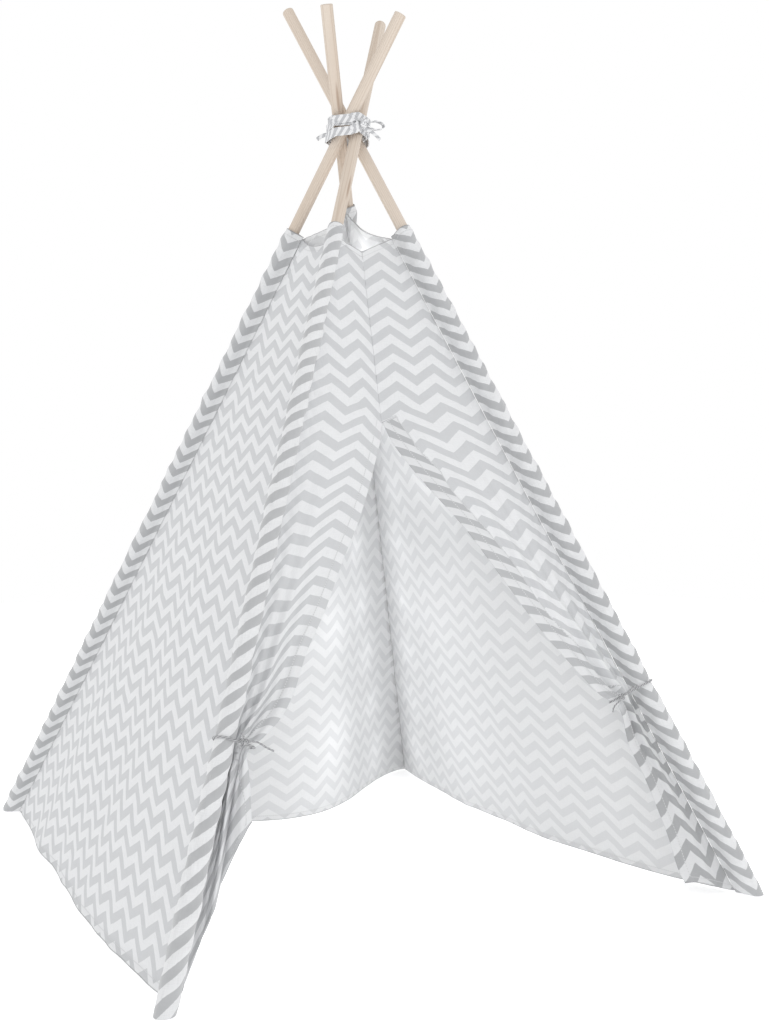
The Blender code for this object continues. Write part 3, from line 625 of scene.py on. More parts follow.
def wall(name, one, other, inward, profile, folds, seed, outward, stretch, tilt, drift=0.0, dense=0.0):
    inward = np.array(inward, float)
    top_one, top_other = LEGS[one]["top_height"] - TOP_GAP, LEGS[other]["top_height"] - TOP_GAP
    u, v = np.meshgrid(np.linspace(0.0, 1.0, WALL_COLUMNS), hem_steps(WALL_TALL, WALL_ROWS))
    across = u[0][:, None]
    low = seam_point(one, HEM_RISE) * (1 - across) + seam_point(other, HEM_RISE) * across
    high = seam_point(one, top_one) * (1 - across) + seam_point(other, top_other) * across
    low = low + inward * profile(u[0])[:, None]
    share = (KNOT[2] - high[:, 2]) / KNOT[2]
    high = high + inward * (profile(u[0]) * share)[:, None]
    width = np.linalg.norm(seam_point(one, top_one) - seam_point(other, top_other))
    slope = (low - high) / np.linalg.norm(low - high, axis=1)[:, None]
    high = high + slope * (TOP_DIP * width * np.sin(math.pi * u[0]))[:, None]
    middle = low[None] * (1 - v[..., None]) + high[None] * v[..., None]
    low_run, high_run = lengths(low), lengths(high)
    flat_u = (low_run - low_run[-1] / 2)[None] * (1 - v) + (high_run - high_run[-1] / 2)[None] * v
    tall = np.linalg.norm(high - low, axis=1)
    flat_v = v * tall[None]
    hem = np.minimum(flat_v, (1 - v) * tall[None])
    seam = np.minimum(flat_u - flat_u[:, :1], flat_u[:, -1:] - flat_u)
    # upright folds that fade upwards, then broad and small dents, then puckers along both seams
    side = np.sin(math.pi * u)
    wave = np.sin(2 * math.pi * folds * u) * side
    deep = UPRIGHT_FOLD * wave * (1 - v) ** 1.2
    deep = deep + BROAD_DENT * side * ripple(seed, flat_u, flat_v * 0.42, 0.115) * (1 - 0.6 * v)
    deep = deep + SMALL_DENT * np.sqrt(side) * ripple(seed + 1, flat_u, flat_v * 0.8, 0.038)
    pucker = np.exp(-seam / PUCKER_REACH) * (1 - np.exp(-seam / 0.004))
    phase = 2 * math.pi * (flat_v + seam * 0.9) / PUCKER_EVERY + 2 * ripple(seed + 2, flat_v, seam, 0.2)
    deep = deep + PUCKER * pucker * np.sin(phase)
    deep = deep * (0.35 + 0.65 * ramp(seam, 0.012))
    middle = middle + inward * deep[..., None]
    for row in middle:
        row[0] = seam_edge(one, row[0][2], row[-1] - row[0])
        row[-1] = seam_edge(other, row[-1][2], row[0] - row[-1])
    # drift pulls the zigzags wider towards the second pole, dense sets the rows closer near the ground
    print_u = flat_u
    if drift:
        print_u = np.log1p(drift / 0.78 * u) / drift * (flat_u[:, -1:] - flat_u[:, :1])
    print_v = (v + dense * (1 - np.exp(-v / 0.22))) * tall.mean() * stretch + flat_u * tilt
    place = np.stack([print_u, print_v], axis=-1)
    half = np.minimum(hem_thickness(hem), CLOTH / 2 * (1 + seam / 0.006))
    # painted shade: seams and hems, where the cloth lies double, are darkened
    double = np.clip(0.38 * ramp(0.0080 - seam, 0.0015) + 0.18 * ramp(0.0120 - hem, 0.001), 0, 1)
    piece = sheet_mesh(name, middle, place, half, outward, (outside, inside), hem, flat_u, double)
    area = float(((low_run[-1] + high_run[-1]) / 2) * tall.mean())
    return piece, (float(low_run[-1]), float(tall.mean())), area


print("a wall has", WALL_COLUMNS * len(hem_steps(WALL_TALL, WALL_ROWS)), "points on each face")

# %% Hang the three walls
wall_left, flat_left, area_left = wall(
    "wall_left", "front_left", "back_left", (1, 0, 0), left_profile, folds=2.5, seed=11,
    outward=(-1, 0, 0.3), stretch=1.12, tilt=-0.14, drift=0.6, dense=0.05)
wall_right, flat_right, area_right = wall(
    "wall_right", "front_right", "back_right", (-1, 0, 0), right_profile, folds=3.5, seed=23,
    outward=(1, 0, 0.3), stretch=1.03, tilt=-0.07)
wall_back, flat_back, area_back = wall(
    "wall_back", "back_left", "back_right", (0, -1, 0), back_profile, folds=2.0, seed=37,
    outward=(0, 1, 0.3), stretch=1.0, tilt=0.0)
for piece, node, body in (
    (wall_left, "panel_left", "side_left"),
    (wall_right, "panel_right", "side_right"),
    (wall_back, "panel_back", "leg_back_left"),
):
    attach(piece, body)
    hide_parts(node)
for piece in (wall_left, wall_right):
    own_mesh(piece)
back_anchor = tuple(seam_point("back_left", 0.6))
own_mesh(wall_back)
print("walls:", [(p.name, len(p.data.polygons)) for p in (wall_left, wall_right, wall_back)])

# %% [markdown]
# ## The front, and its two gathered flaps
#
# Each front half is one piece of cloth. Its upper part is sewn to its twin in the middle. Its lower
# part is pulled aside and tied to the pole, and all the cloth between pole and edge bunches up under
# the string in pleats that open out like a fan above and below it.

# %% Where the flaps' free edges run, from the floor up to the doorway's top
# the row that ends at the doorway's top begins at this height, beside the pole
DOOR_SEAM = 0.850


def placed(shares):
    """Points given in hundred-thousandths of the half spans and of the crossing's height."""
    return np.array(shares, float) / 100000 * np.array([HALF_SPAN_X, HALF_SPAN_Y, KNOT[2]])


DOOR_TOP = placed((-2041, -39589, 58433))
CENTRE_TOP = placed((-1224, -25364, 81940))
LEFT_EDGE = placed((
    (-72857, -86204, 14627), (-72653, -84319, 17910), (-72041, -82262, 21343), (-65714, -79692, 22985),
    (-59184, -76607, 24627), (-53673, -73693, 27090), (-47551, -69409, 30896), (-38776, -64610, 35373),
    (-30408, -59469, 40373), (-21020, -53813, 45448), (-13469, -48500, 50149),
))
RIGHT_EDGE = placed((
    (77143, -94602, 2239), (74898, -93745, 4030), (73673, -91003, 7612), (71837, -88603, 10672),
    (69184, -85347, 14627), (66122, -82605, 17910), (64490, -79520, 22463), (58776, -76607, 24328),
    (53061, -73350, 27015), (45306, -68895, 30970), (40204, -65810, 33881), (33673, -62039, 37910),
    (26735, -57584, 42313), (21020, -54156, 45597), (8163, -46787, 52015),
))
print("edges:", len(LEFT_EDGE), "and", len(RIGHT_EDGE), "points")

# %% Even points along a smooth line
def resampled(points, count):
    """That many points, evenly spaced along a line."""
    points = np.array(points)
    s = lengths(points)
    want = np.linspace(0, s[-1], count)
    return np.stack([np.interp(want, s, points[:, k]) for k in range(3)], axis=1)


def smooth_line(points, count):
    p = np.array(points, float)
    p = np.vstack([2 * p[0] - p[1], p, 2 * p[-1] - p[-2]])
    dense = []
    for i in range(1, len(p) - 2):
        a, b, c, d = p[i - 1], p[i], p[i + 1], p[i + 2]
        for k in range(12):
            t = k / 12
            dense.append(0.5 * (2 * b + (c - a) * t + (2 * a - 5 * b + 4 * c - d) * t**2
                                + (3 * b - a - 3 * c + d) * t**3))
    dense.append(p[-2])
    return resampled(dense, count)


print("lines ready")

# %% [markdown]
# ### One half of the front
#
# Each row of the cloth runs from the seam beside the pole to the flap's edge or to the middle seam.
# A row is straight at first. Pleats, dents and puckers then push its points in and out. So the pleats
# can be deepest at the string and fade away from it, as in gathered cloth.

# %% Shape one half
BROAD_PLEAT, BROAD_COUNT = 0.009, 2.25
FINE_PLEAT, FINE_COUNT = 0.0058, 4.6
# a length of cloth up the front rises by this share of it
LEAN = 0.928
# the flap's flat width at the floor and at the string
FLAP_LOW, FLAP_TIED = 0.192, 0.128
EDGE_STAND = 0.0085


def front_half(name, leg_name, edge, tie_index, tie_seam, seed, turned_in, tail_shade, gather_shade):
    """The flap's rows come first, then those beside the middle seam."""
    sign = -1 if leg_name.endswith("left") else 1
    edge_rows, yoke_rows, cols = 170, 64, 110
    top_seam = LEGS[leg_name]["top_height"] - TOP_GAP
    line = smooth_line(np.vstack([edge, DOOR_TOP]), edge_rows + 1)
    s = lengths(line)
    tie_s = s[np.argmin(np.linalg.norm(line - edge[tie_index], axis=1))]
    steps = np.arange(1, yoke_rows + 1) / yoke_rows
    heights = np.concatenate([
        np.interp(s, [0, tie_s, s[-1]], [HEM_RISE, tie_seam, DOOR_SEAM]),
        np.interp(steps, [0, 1], [DOOR_SEAM, top_seam]),
    ])
    yoke = DOOR_TOP + (CENTRE_TOP - DOOR_TOP) * steps[:, None]
    inner = np.vstack([line, yoke]) + np.array([sign * 0.0005, 0, 0])
    seam = np.array([seam_point(leg_name, h) for h in heights])
    rows = len(inner)
    u = np.linspace(0.0, 1.0, cols + 1)[None]
    base = seam[:, None] * (1 - u[..., None]) + inner[:, None] * u[..., None]
    normal = np.cross(np.gradient(base, axis=1), np.gradient(base, axis=0))
    normal /= np.linalg.norm(normal, axis=2)[:, :, None]
    if normal[..., 1].mean() > 0:
        normal = -normal
    # what belongs to a whole row stands in columns
    r = np.arange(rows)[:, None]
    heights = heights[:, None]
    full = lengths(inner)[:, None]
    span = np.linalg.norm(inner - seam, axis=1)[:, None]
    from_seam, to_edge, to_tie = span * u, span * (1 - u), full - tie_s
    near = np.exp(-((to_tie / 0.170) ** 2))
    hold = np.where(r < edge_rows, 1.0, np.maximum(0.0, 1 - (r - edge_rows) / yoke_rows))
    fade = ramp(edge_rows - r, 34.0)
    # the broad pleats of the bunch
    rise = np.sin(math.pi * np.minimum(u, 0.75) / 1.5)
    broad = np.minimum(BROAD_PLEAT, 0.16 * span / BROAD_COUNT) * near * fade
    deep = broad * rise * np.cos(2 * math.pi * BROAD_COUNT * u)
    deep = deep + (0.0045 * hold * (1 - near)) * np.sin(math.pi * u)
    # finer ones that fan out of the string
    fan = np.exp(-np.abs(to_tie) / np.where(to_tie < 0, 0.10, 0.20)) * fade
    fine = np.minimum(FINE_PLEAT, 0.30 * span / 5.0) * fan
    phase = 2 * math.pi * (FINE_COUNT * u**0.9 + 0.35 * ripple(seed, full, u * 0.9, 0.30))
    deep = deep + fine * np.sin(phase) * np.sin(math.pi * np.clip(u, 0.02, 0.98)) ** 0.5
    # below the doorway's top the cloth is cut narrower, along a line that slants towards the pole
    wide = np.abs(seam[:, :1] + 0.01)
    cut = np.interp(heights, [0.0, tie_seam, DOOR_SEAM], [FLAP_LOW, FLAP_TIED, wide[edge_rows, 0]])
    flat_width = np.where(r <= edge_rows, np.minimum(cut, wide), wide)
    flap_v = np.interp(full, [0, s[-1]], [0.02, DOOR_TOP[2] / LEAN])
    inner_v = np.where(r <= edge_rows, flap_v, inner[:, 2:] / LEAN)
    flat_v = (heights / LEAN) * (1 - u) + inner_v * u
    flat_u = sign * flat_width * (1 - u)
    # dents, puckers beside the pole, and the middle seam, which draws the cloth in a little
    quiet = ramp(span, 0.12) * np.sin(math.pi * u) ** 0.5
    deep = deep + 0.0022 * quiet * ripple(seed + 1, flat_u, flat_v * 0.7, 0.07)
    deep = deep + 0.0010 * quiet * ripple(seed + 2, flat_u, flat_v, 0.030)
    pucker = np.exp(-from_seam / 0.020) * (1 - np.exp(-from_seam / 0.004))
    deep = deep + 0.0018 * pucker * np.sin(2 * math.pi * (heights + from_seam) / 0.029)
    middle_seam = np.where(r >= edge_rows, 1.0, 0.0) * np.exp(-to_edge / 0.012)
    drawn = np.sin(2 * math.pi * inner_v / 0.024) - 1.0
    deep = deep + 0.0012 * middle_seam * drawn * (1 - np.exp(-to_edge / 0.003))
    if turned_in > 0:
        # a broad pleat beside the turned edge
        beside = to_edge - turned_in - 0.014
        deep = deep + 0.0055 * np.exp(-((beside / 0.010) ** 2)) * (ramp(to_tie, 0.08) * fade)
    middle = base + normal * deep[..., None]
    for row in middle:
        x, y, z = row[0]
        row[0] = seam_edge(leg_name, z, DOOR_TOP - np.array([x, y, DOOR_TOP[2]]))
    # the bound edge of the flap stands a little beyond the bunch
    grow = EDGE_STAND * ramp(edge_rows - r, 8.0)
    out = np.zeros((rows, 3))
    for k in range(rows):
        forward = unit(middle[min(k + 1, rows - 1), -1] - middle[max(k - 1, 0), -1])
        face = unit(normal[k, -1] - forward * np.dot(normal[k, -1], forward))
        out[k] = np.cross(face, forward) * sign
    tail = np.exp(-to_edge / 0.010) * (u > 0.5)
    middle = middle + (out * grow)[:, None] * tail[..., None]
    door = np.where(r < edge_rows, to_edge, 1.0)
    bottom = full * u + heights * (1 - u)
    hem = np.minimum(np.minimum(np.maximum(door, 0.0026), bottom), full[-1] - full)
    # the edge is turned over, and the tail hangs doubled up under the string; painted shade darkens
    # the turned strip, the hanging tail and the gathered bunch near the string
    above = ramp(to_tie, 0.03) * (r < edge_rows)
    uneven = turned_in * (1 + 0.22 * ripple(seed + 3, full, 0.0, 0.05))
    strip = ramp(uneven - to_edge, 0.0015) * above
    below = ramp(-to_tie, 0.02) * (0.80 + 0.20 * np.exp(to_tie / 0.12))
    bunched_shade = gather_shade * np.exp(-((to_tie / 0.24) ** 2)) * above
    double = np.maximum(np.maximum(0.50 * strip, tail_shade * below), bunched_shade)
    # painted shade: a dark line is painted down the crease beside the pole's sleeve, deepest under the string
    crease = ramp(0.0040 - from_seam, 0.0015) * (0.30 + 0.70 * np.clip(below * 2, 0, 1))
    double = np.maximum(double, crease)
    # under the string the bunch opens, so its print shows wider
    opened = 1 - 0.40 * ramp(tie_s + 0.02 - full, 0.06)
    print_u = np.where(strip > 0.5, PERIOD / 4, flat_u * opened)
    print_v = np.where(strip > 0.5, full + 1.6 * to_edge, flat_v)
    place = np.stack([print_u, print_v], axis=-1)
    half = np.maximum(hem_thickness(hem), CLOTH / 2 * (1 + 0.7 * strip))
    half = np.minimum(half, CLOTH / 2 * (1 + from_seam / 0.006))
    half = np.where(span < 0.05, np.minimum(half, CLOTH / 2 * 1.1), half)
    run = np.where(door < bottom, full, flat_u)
    piece = sheet_mesh(name, middle, place, half, (0, -1, 0.2), (outside, inside), hem, run, double)
    area = float((np.diff(flat_v[:, 0]) * (flat_width[1:, 0] + flat_width[:-1, 0]) / 2).sum())
    return piece, (float(flat_width.max()), float(flat_v.max())), area


print("front shaper ready")

# %% The two front halves
# the string holds this one of each edge's points
LEFT_TIE, RIGHT_TIE = 2, 6
GIVE_ABOVE, GIVE_SHARE = 0.075, 0.85
half_left, flat_half_left, area_half_left = front_half(
    "front_half_left", "front_left", LEFT_EDGE, LEFT_TIE, tie_seam=0.292, seed=51,
    turned_in=-0.002, tail_shade=0.36, gather_shade=0.34)
half_right, flat_half_right, area_half_right = front_half(
    "front_half_right", "front_right", RIGHT_EDGE, RIGHT_TIE, tie_seam=0.330, seed=67,
    turned_in=0.026, tail_shade=1.00, gather_shade=0.12)
for side, piece, flat, area in (
    ("left", half_left, flat_half_left, area_half_left),
    ("right", half_right, flat_half_right, area_half_right),
):
    # how far the flap's edge lies from a line from the foot to just above the doorway, and a share of that
    foot = seam_point(f"front_{side}", 0.0)
    line = unit(DOOR_TOP + unit(CENTRE_TOP - DOOR_TOP) * GIVE_ABOVE - foot)
    edge = LEFT_EDGE[LEFT_TIE:] if side == "left" else RIGHT_EDGE[RIGHT_TIE:]
    reach = sum((p - foot) - line * np.dot(p - foot, line) for p in edge) / len(edge)
    start, end = foot, foot + reach * GIVE_SHARE
    print(side, "flap gives over", round(float(np.linalg.norm(reach)) * 1000), "mm")
    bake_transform(piece)
    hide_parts(f"front_panel_{side}", f"door_hem_{side}")
print("front halves:", len(half_left.data.polygons), len(half_right.data.polygons))

# %% [markdown]
# ## Pole sleeves
#
# A sleeve is a long strip of the same cotton, folded round the pole and sewn shut where the walls
# meet, so its section is a drop that narrows to the seam. Its print doesn't meet the walls' rows, as
# the strip was cut apart from them. It is a little loose and puckers all along, its mouth is hemmed,
# and its lower end is closed into a pocket that the pole stands in. A swept curve would make the drop,
# but all too even, so each ring of points is placed by itself.

# %% Shape one sleeve
SLEEVE_RADIUS, SLEEVE_APEX = 0.0130, 0.0252
OUTLINE_POINTS, SLEEVE_ROWS = 41, 250
LOOSE, LOOSE_EVERY = 0.0011, 0.041


def drop_outline(count):
    """A circle round the pole that runs out to the seam, starting and ending there."""
    r, apex, gap = SLEEVE_RADIUS, SLEEVE_APEX, 0.0007
    points = [(apex, gap), (apex * 0.86 + r * 0.14, gap * 1.5), (r * 1.32, gap * 4.2), (r * 1.08, r * 0.55)]
    for q in np.linspace(0.78, math.pi, (count - 7) // 2):
        points.append((r * math.cos(q), r * math.sin(q)))
    lower = [(a, -b) for a, b in points[::-1]][1:]
    return np.array(points + lower)


def sleeve(name, seed, shift, slant, tied_at=None):
    leg = LEGS[name]
    crossing, down, inward, across = (leg[key] for key in ("crossing", "down", "inward", "across"))
    outline = drop_outline(OUTLINE_POINTS)
    around = lengths(outline)
    total = leg["length"] - leg["top"]
    rounds = [crossing + a * inward + b * across for a, b in outline]
    low = np.array([p + down * ((CLOTH / 2 + 0.0001 - p[2]) / down[2]) for p in rounds])
    high = np.array([p + down * leg["top"] for p in rounds])
    centre = low.mean(axis=0)
    grid, place, hem = [], [], []

    def add(ring, print_u, print_v, to_mouth):
        grid.append(ring)
        place.append(np.stack([print_u + shift, np.full(len(around), print_v)], axis=1))
        hem.append([to_mouth])

    # the pocket's floor
    for k in (0.12, 0.45, 0.80, 0.95):
        add(centre + (low - centre) * k, around, -0.012 * (1 - k), 1.0)
    free = np.hypot(outline[:, 0], outline[:, 1]) < 0.0142
    angle = np.arctan2(outline[:, 1], outline[:, 0])
    outwards = np.cos(angle)[:, None] * inward + np.sin(angle)[:, None] * across
    for t in hem_steps(total, SLEEVE_ROWS):
        s = t * total
        phase = 2 * math.pi * s / LOOSE_EVERY + 1.7 * angle + 2.6 * ripple(seed, s, 0.0, 0.11)
        loose = LOOSE * (1 + np.sin(phase))
        loose = loose + 0.0013 * ripple(seed + 1, angle * 0.016, s, 0.021)
        loose = loose + 0.0007 * ripple(seed + 2, angle * 0.020, s * 0.35, 0.017)
        ends = min(1.0, s / 0.03, (total - s) / 0.016 + 0.15)
        if tied_at:
            # the string pulls the sleeve tight here
            ends *= 1 - math.exp(-(((s * -down[2] - tied_at) / 0.020) ** 2))
        swell = np.maximum(loose, 0.0) * free * max(ends, 0.0)
        add(low + (high - low) * t + outwards * swell[:, None], around + slant * s, s, max(total - s, 0.0))

    def away(points):
        rel = points - crossing
        return rel - (rel @ down)[..., None] * down[None, None]

    hem = np.array(hem)
    half = np.minimum(hem_thickness(hem), 0.00075)
    both = (sleeve_out, sleeve_in)
    piece = sheet_mesh(f"pole_sleeve_{name}", np.array(grid), np.array(place), half, away, both, hem, around)
    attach(piece, f"leg_{name}")
    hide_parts(f"sleeve_{name}")
    return piece


print("sleeve's outline:", len(drop_outline(OUTLINE_POINTS)), "points")

# %% Four sleeves
sleeves = [
    sleeve("front_left", 71, 0.0092, 0.0, 0.309), sleeve("front_right", 73, 0.0078, 0.0, 0.336),
    sleeve("back_left", 79, 0.0491, 0.0), sleeve("back_right", 83, 0.0200, 0.02),
]
print("sleeves:", [(p.name, len(p.data.polygons)) for p in sleeves])

# %% [markdown]
# ## Pine poles
#
# Bare sanded pine: pale, a little pink, with fine grain along the pole, darker late wood in slow
# waves, and now and then a small knot. Inside the sleeve the two halves of a pole meet in a thin drawn
# tube of aluminium. A wood picture would have to be wrapped round each stick. Here the grain is cut
# from a block of rings along each pole's own line, as a saw would do it.

# %% Wood for each pole, metal for the tubes
def pine(name, leg, shift):
    s = Surface(name)
    at = s.object_vector()

    def measure(direction):
        origin = float(np.dot(leg["crossing"], direction))
        dot = s.node("VectorMath", {"operation": "DOT_PRODUCT"}, _0=at, _1=tuple(direction)).outputs["Value"]
        return Value(s.tree, dot) - origin

    along, one, two = measure(leg["down"]), measure(leg["inward"]), measure(leg["across"])

    def grain(stretch, fine, detail, start=0.0):
        return s.noise(s.joined(along * stretch + start, one * fine, two * fine), 1.0, detail)

    bend = grain(1.3, 6.0, 2.0, shift) * 0.018
    # rings round a heart that lies outside the pole
    far = (one + 0.021 + bend).math("POWER", 2.0) + (two - 0.016 + bend).math("POWER", 2.0)
    ring = (far.math("SQRT") / 0.0031 + shift).wave()
    late = ring.step(0.45, 0.98)
    fibre = grain(14.0, 900.0, 3.0)
    pores = grain(60.0, 2600.0, 2.0)
    broad = grain(2.2, 30.0, 2.0, shift)
    pale, warm, dark = (0.650, 0.575, 0.500), (0.580, 0.495, 0.415), (0.420, 0.325, 0.250)
    colour = s.mix(broad.step(0.3, 0.75), pale, warm)
    colour = s.mix(late * (0.28 + 0.22 * fibre), colour, dark)
    colour = s.mix(pores.step(0.60, 0.78) * 0.18, colour, dark)
    cells = s.joined(along * 4.2 + shift, one * 45.0, two * 45.0)
    spots = s.node("TexVoronoi", {"feature": "F1"}, Vector=cells, Scale=1.0)
    knot = Value(s.tree, spots.outputs["Distance"]).step(0.16, 0.05)
    colour = s.mix(knot * 0.55, colour, (0.26, 0.15, 0.09))
    s.put("Base Color", colour)
    s.put("Roughness", 0.56 + 0.12 * fibre)
    s.put("Specular IOR Level", 0.35)
    s.bump(late * 0.00008 + fibre * 0.00010, pores * 0.00006)
    return s.material


def drawn_metal(name):
    s = Surface(name)
    at = s.object_vector()
    scratch = s.noise(s.stretched(at, (2600.0, 2600.0, 40.0)), 1.0, 2.0)
    s.put("Base Color", s.mix(scratch * 0.4, (0.86, 0.86, 0.87), (0.66, 0.66, 0.68)))
    s.put("Metallic", 1.0)
    s.put("Roughness", 0.26 + 0.16 * scratch)
    s.bump(scratch * 0.00002)
    return s.material


tube_metal = drawn_metal("drawn_aluminium")
for number, (name, leg) in enumerate(LEGS.items()):
    wood = pine(f"pine_{name}", leg, 3.7 * number + 0.4)
    for which in ("lower", "upper"):
        node = nodes[f"pole_{which}_{name}"]
        node.material_slots[0].material = wood
    nodes[f"ferrule_{name}"].material_slots[0].material = tube_metal
print("poles:", [n for n in nodes if n.startswith("pole")])

# %% [markdown]
# ## The lashing
#
# A strip of the cover's cotton, folded lengthways, goes twice and a half round the crossed poles,
# each turn a little further out and slanting the other way. It ends in a flat knot in front with one
# loop, like a half bow, and two free ends. A ring bent to fit would touch the poles somewhere as they
# fold. So the strip follows the outline of all places that the poles pass through, a little outside it.

# %% The room that the poles take near the crossing, at rest and folded
FOLD_MOST = math.radians(15.6)
BACK_SHARE = 1.33
UP = np.array([0.0, 0.0, 1.0])


def turned(v, axis, angle):
    v, axis = np.array(v, float), unit(axis)
    along = axis * np.dot(axis, v)
    return v * math.cos(angle) + np.cross(axis, v) * math.sin(angle) + along * (1 - math.cos(angle))


def pole_outline():
    """Where the poles pass near the lashing, as the teepee folds."""
    points = []
    for step in range(5):
        for leg in LEGS.values():
            axis = np.array([-leg["sy"], 0.0, 0.0])
            fold = FOLD_MOST * (BACK_SHARE if leg["sy"] > 0 else 1.0) * step / 4
            d = turned(leg["down"], axis, fold)
            middle = KNOT + turned(leg["crossing"] - KNOT, axis, fold)
            flat = unit([d[0], d[1], 0.0])
            side = np.array([-flat[1], flat[0], 0.0])
            for z in np.linspace(-0.034, 0.020, 7):
                c = middle + d * ((KNOT[2] + z - middle[2]) / d[2])
                for q in np.linspace(0, 2 * math.pi, 25)[:-1]:
                    p = c + POLE / 2 * (math.cos(q) / -d[2] * flat + math.sin(q) * side)
                    points.append(p[:2] - KNOT[:2])
    return np.array(points)


outline_points = pole_outline()


def round_poles(angle, off, z):
    """A point that far off the poles on that side, z above the crossing, and the way outwards there."""
    n = np.array([math.cos(angle), math.sin(angle)])
    xy = outline_points[np.argmax(outline_points @ n)] + n * off
    return KNOT + np.array([*xy, z]), np.array([*n, 0.0])


print("outline of", len(outline_points), "points")

# %% Strips with folded edges
# the folded strip's section, as shares of half its width and of half its thickness
SECTION = (
    (1.0, 0.0), (0.97, 0.75), (0.86, 1.0), (0.66, 0.86), (0.30, 0.62), (0.0, 0.56),
    (-0.30, 0.62), (-0.66, 0.86), (-0.86, 1.0), (-0.97, 0.75), (-1.0, 0.0), (-0.97, -0.75),
    (-0.86, -1.0), (-0.5, -0.9), (0.0, -0.9), (0.5, -0.9), (0.86, -1.0), (0.97, -0.75),
)


def ribbon(path, faces_to, width, thick, wobble, seed):
    """Rows of a soft strip's outline along a path, its long edges folded over."""
    rows = []
    s = lengths(path)
    for i, p in enumerate(path):
        t = unit(path[min(i + 1, len(path) - 1)] - path[max(i - 1, 0)])
        n = unit(faces_to[i] - t * np.dot(faces_to[i], t))
        b = np.cross(t, n)
        w, h = width / 2, thick / 2
        shape = []
        for x, y in SECTION:
            lift = wobble * float(ripple(seed, s[i], x * 0.004, 0.006)) * max(0.0, y)
            shape.append(p + b * (w * x) + n * (h * y + lift))
        rows.append(shape)
    return np.array(rows)


def tube_faces(count, sides, around, along):
    """The faces between a tube's rows, and their places. Past the last row it begins again."""
    faces, spots = [], []
    for r in range(len(along) - 1):
        a, b = r * sides, (r + 1) % count * sides
        for c in range(sides):
            e = (c + 1) % sides
            faces.append((a + c, a + e, b + e, b + c))
            spots += [(around[c], along[r]), (around[c + 1], along[r]),
                      (around[c + 1], along[r + 1]), (around[c], along[r + 1])]
    return faces, spots


def closed_strip(name, rows, surface, along):
    """A closed tube from rows of outline points, with its ends filled."""
    count, sides = rows.shape[:2]
    around = lengths(np.vstack([rows[0], rows[0][:1]]))
    faces, spots = tube_faces(count, sides, around, along)
    for r, order in ((0, -1), (count - 1, 1)):
        faces.append(tuple(range(r * sides, (r + 1) * sides))[::order])
        spots += [(around[c], along[r]) for c in range(sides)]
    return new_piece(name, new_mesh(name, rows.reshape(-1, 3).tolist(), faces, spots, (surface,)), 55)


print("strip's section:", len(SECTION), "points")

# %% The strip round the poles
strip_cotton = printed(
    "strip_cotton", (0.76, 0.765, 0.775), (0.47, 0.475, 0.49), 0.013, 0.030, 0.011,
    stitches=False, sway=0.004)
# the strip's first and last angle in degrees, how far its turns rise and fall, and how often
START, END, RISE, TILT = 150.0, 1010.0, 0.0125, 0.72
LOW = 0.0055
STRIP_ROWS = 172
STRIP_WIDE, STRIP_THICK = 0.0162, 0.0019
STRIP_STEP = 0.0023
STRIP_HALF = 0.0008
STRIP_GAP = 0.0004
KNOT_DEPTH = 0.0085


def strip_middle(a):
    """How far off the poles the strip's middle lies at that angle, and how high."""
    turned_by = a - math.radians(START)
    turns = turned_by / (2 * math.pi)
    off = STRIP_GAP + STRIP_HALF + STRIP_STEP * turns
    # the turns before the last spread a little further down the poles
    last_part = min(1.0, max(0.0, (math.radians(END) - a) / 0.8))
    wave = math.cos(TILT * turned_by)
    return off, RISE * wave + last_part * (0.0030 * wave - LOW)


path, facing = [], []
for i in range(STRIP_ROWS + 1):
    a = math.radians(START + (END - START) * i / STRIP_ROWS)
    p, n = round_poles(a, *strip_middle(a))
    path.append(p)
    facing.append(n)
outlines = ribbon(path, facing, STRIP_WIDE, STRIP_THICK, 0.0008, 5)
wrap = closed_strip("lashing_strip", outlines, strip_cotton, lengths(path))
print("lashing strip of", round(lengths(path)[-1] * 1000), "mm")

# %% Its knot, its loop and its two ends
def tied_knot(name, middle, face, size, strand, surface):
    """A small tied knot: one strand that passes three times over itself."""
    face = unit(face)
    side = unit(np.cross(UP, face))
    rise = np.cross(face, side)
    k = size / 3.0
    steps, sides = 96, 14
    line, rows = [], []
    for i in range(steps):
        t = 2 * math.pi * i / steps
        x, y, z = math.sin(t) + 2 * math.sin(2 * t), math.cos(t) - 2 * math.cos(2 * t), -math.sin(3 * t)
        line.append(middle + side * x * k * 1.15 + rise * y * k * 0.8 + face * z * k * 0.75)
    for i, p in enumerate(line):
        t = unit(line[(i + 1) % steps] - line[i - 1])
        n = unit(face - t * np.dot(face, t))
        b = np.cross(t, n)
        for q in np.linspace(0, 2 * math.pi, sides + 1)[:-1]:
            swell = 1 + 0.08 * math.cos(3 * q + 0.9 * i)
            rows.append(p + (math.cos(q) * n + math.sin(q) * b * 1.2) * strand * swell)
    faces, spots = tube_faces(steps, sides, np.arange(sides + 1) * 0.0006, np.arange(steps + 1) * 0.0005)
    return new_piece(name, new_mesh(name, np.array(rows).tolist(), faces, spots, (surface,)), 180)


last = math.radians(END)
off, z = strip_middle(last)
knot_at, knot_face = round_poles(last, off + STRIP_HALF + STRIP_GAP + KNOT_DEPTH * 0.56, z)
knot_side = unit(np.cross(UP, knot_face))
knot = tied_knot(
    "lashing_tied_knot", knot_at, knot_face, size=0.0072, strand=0.0021, surface=strip_cotton)

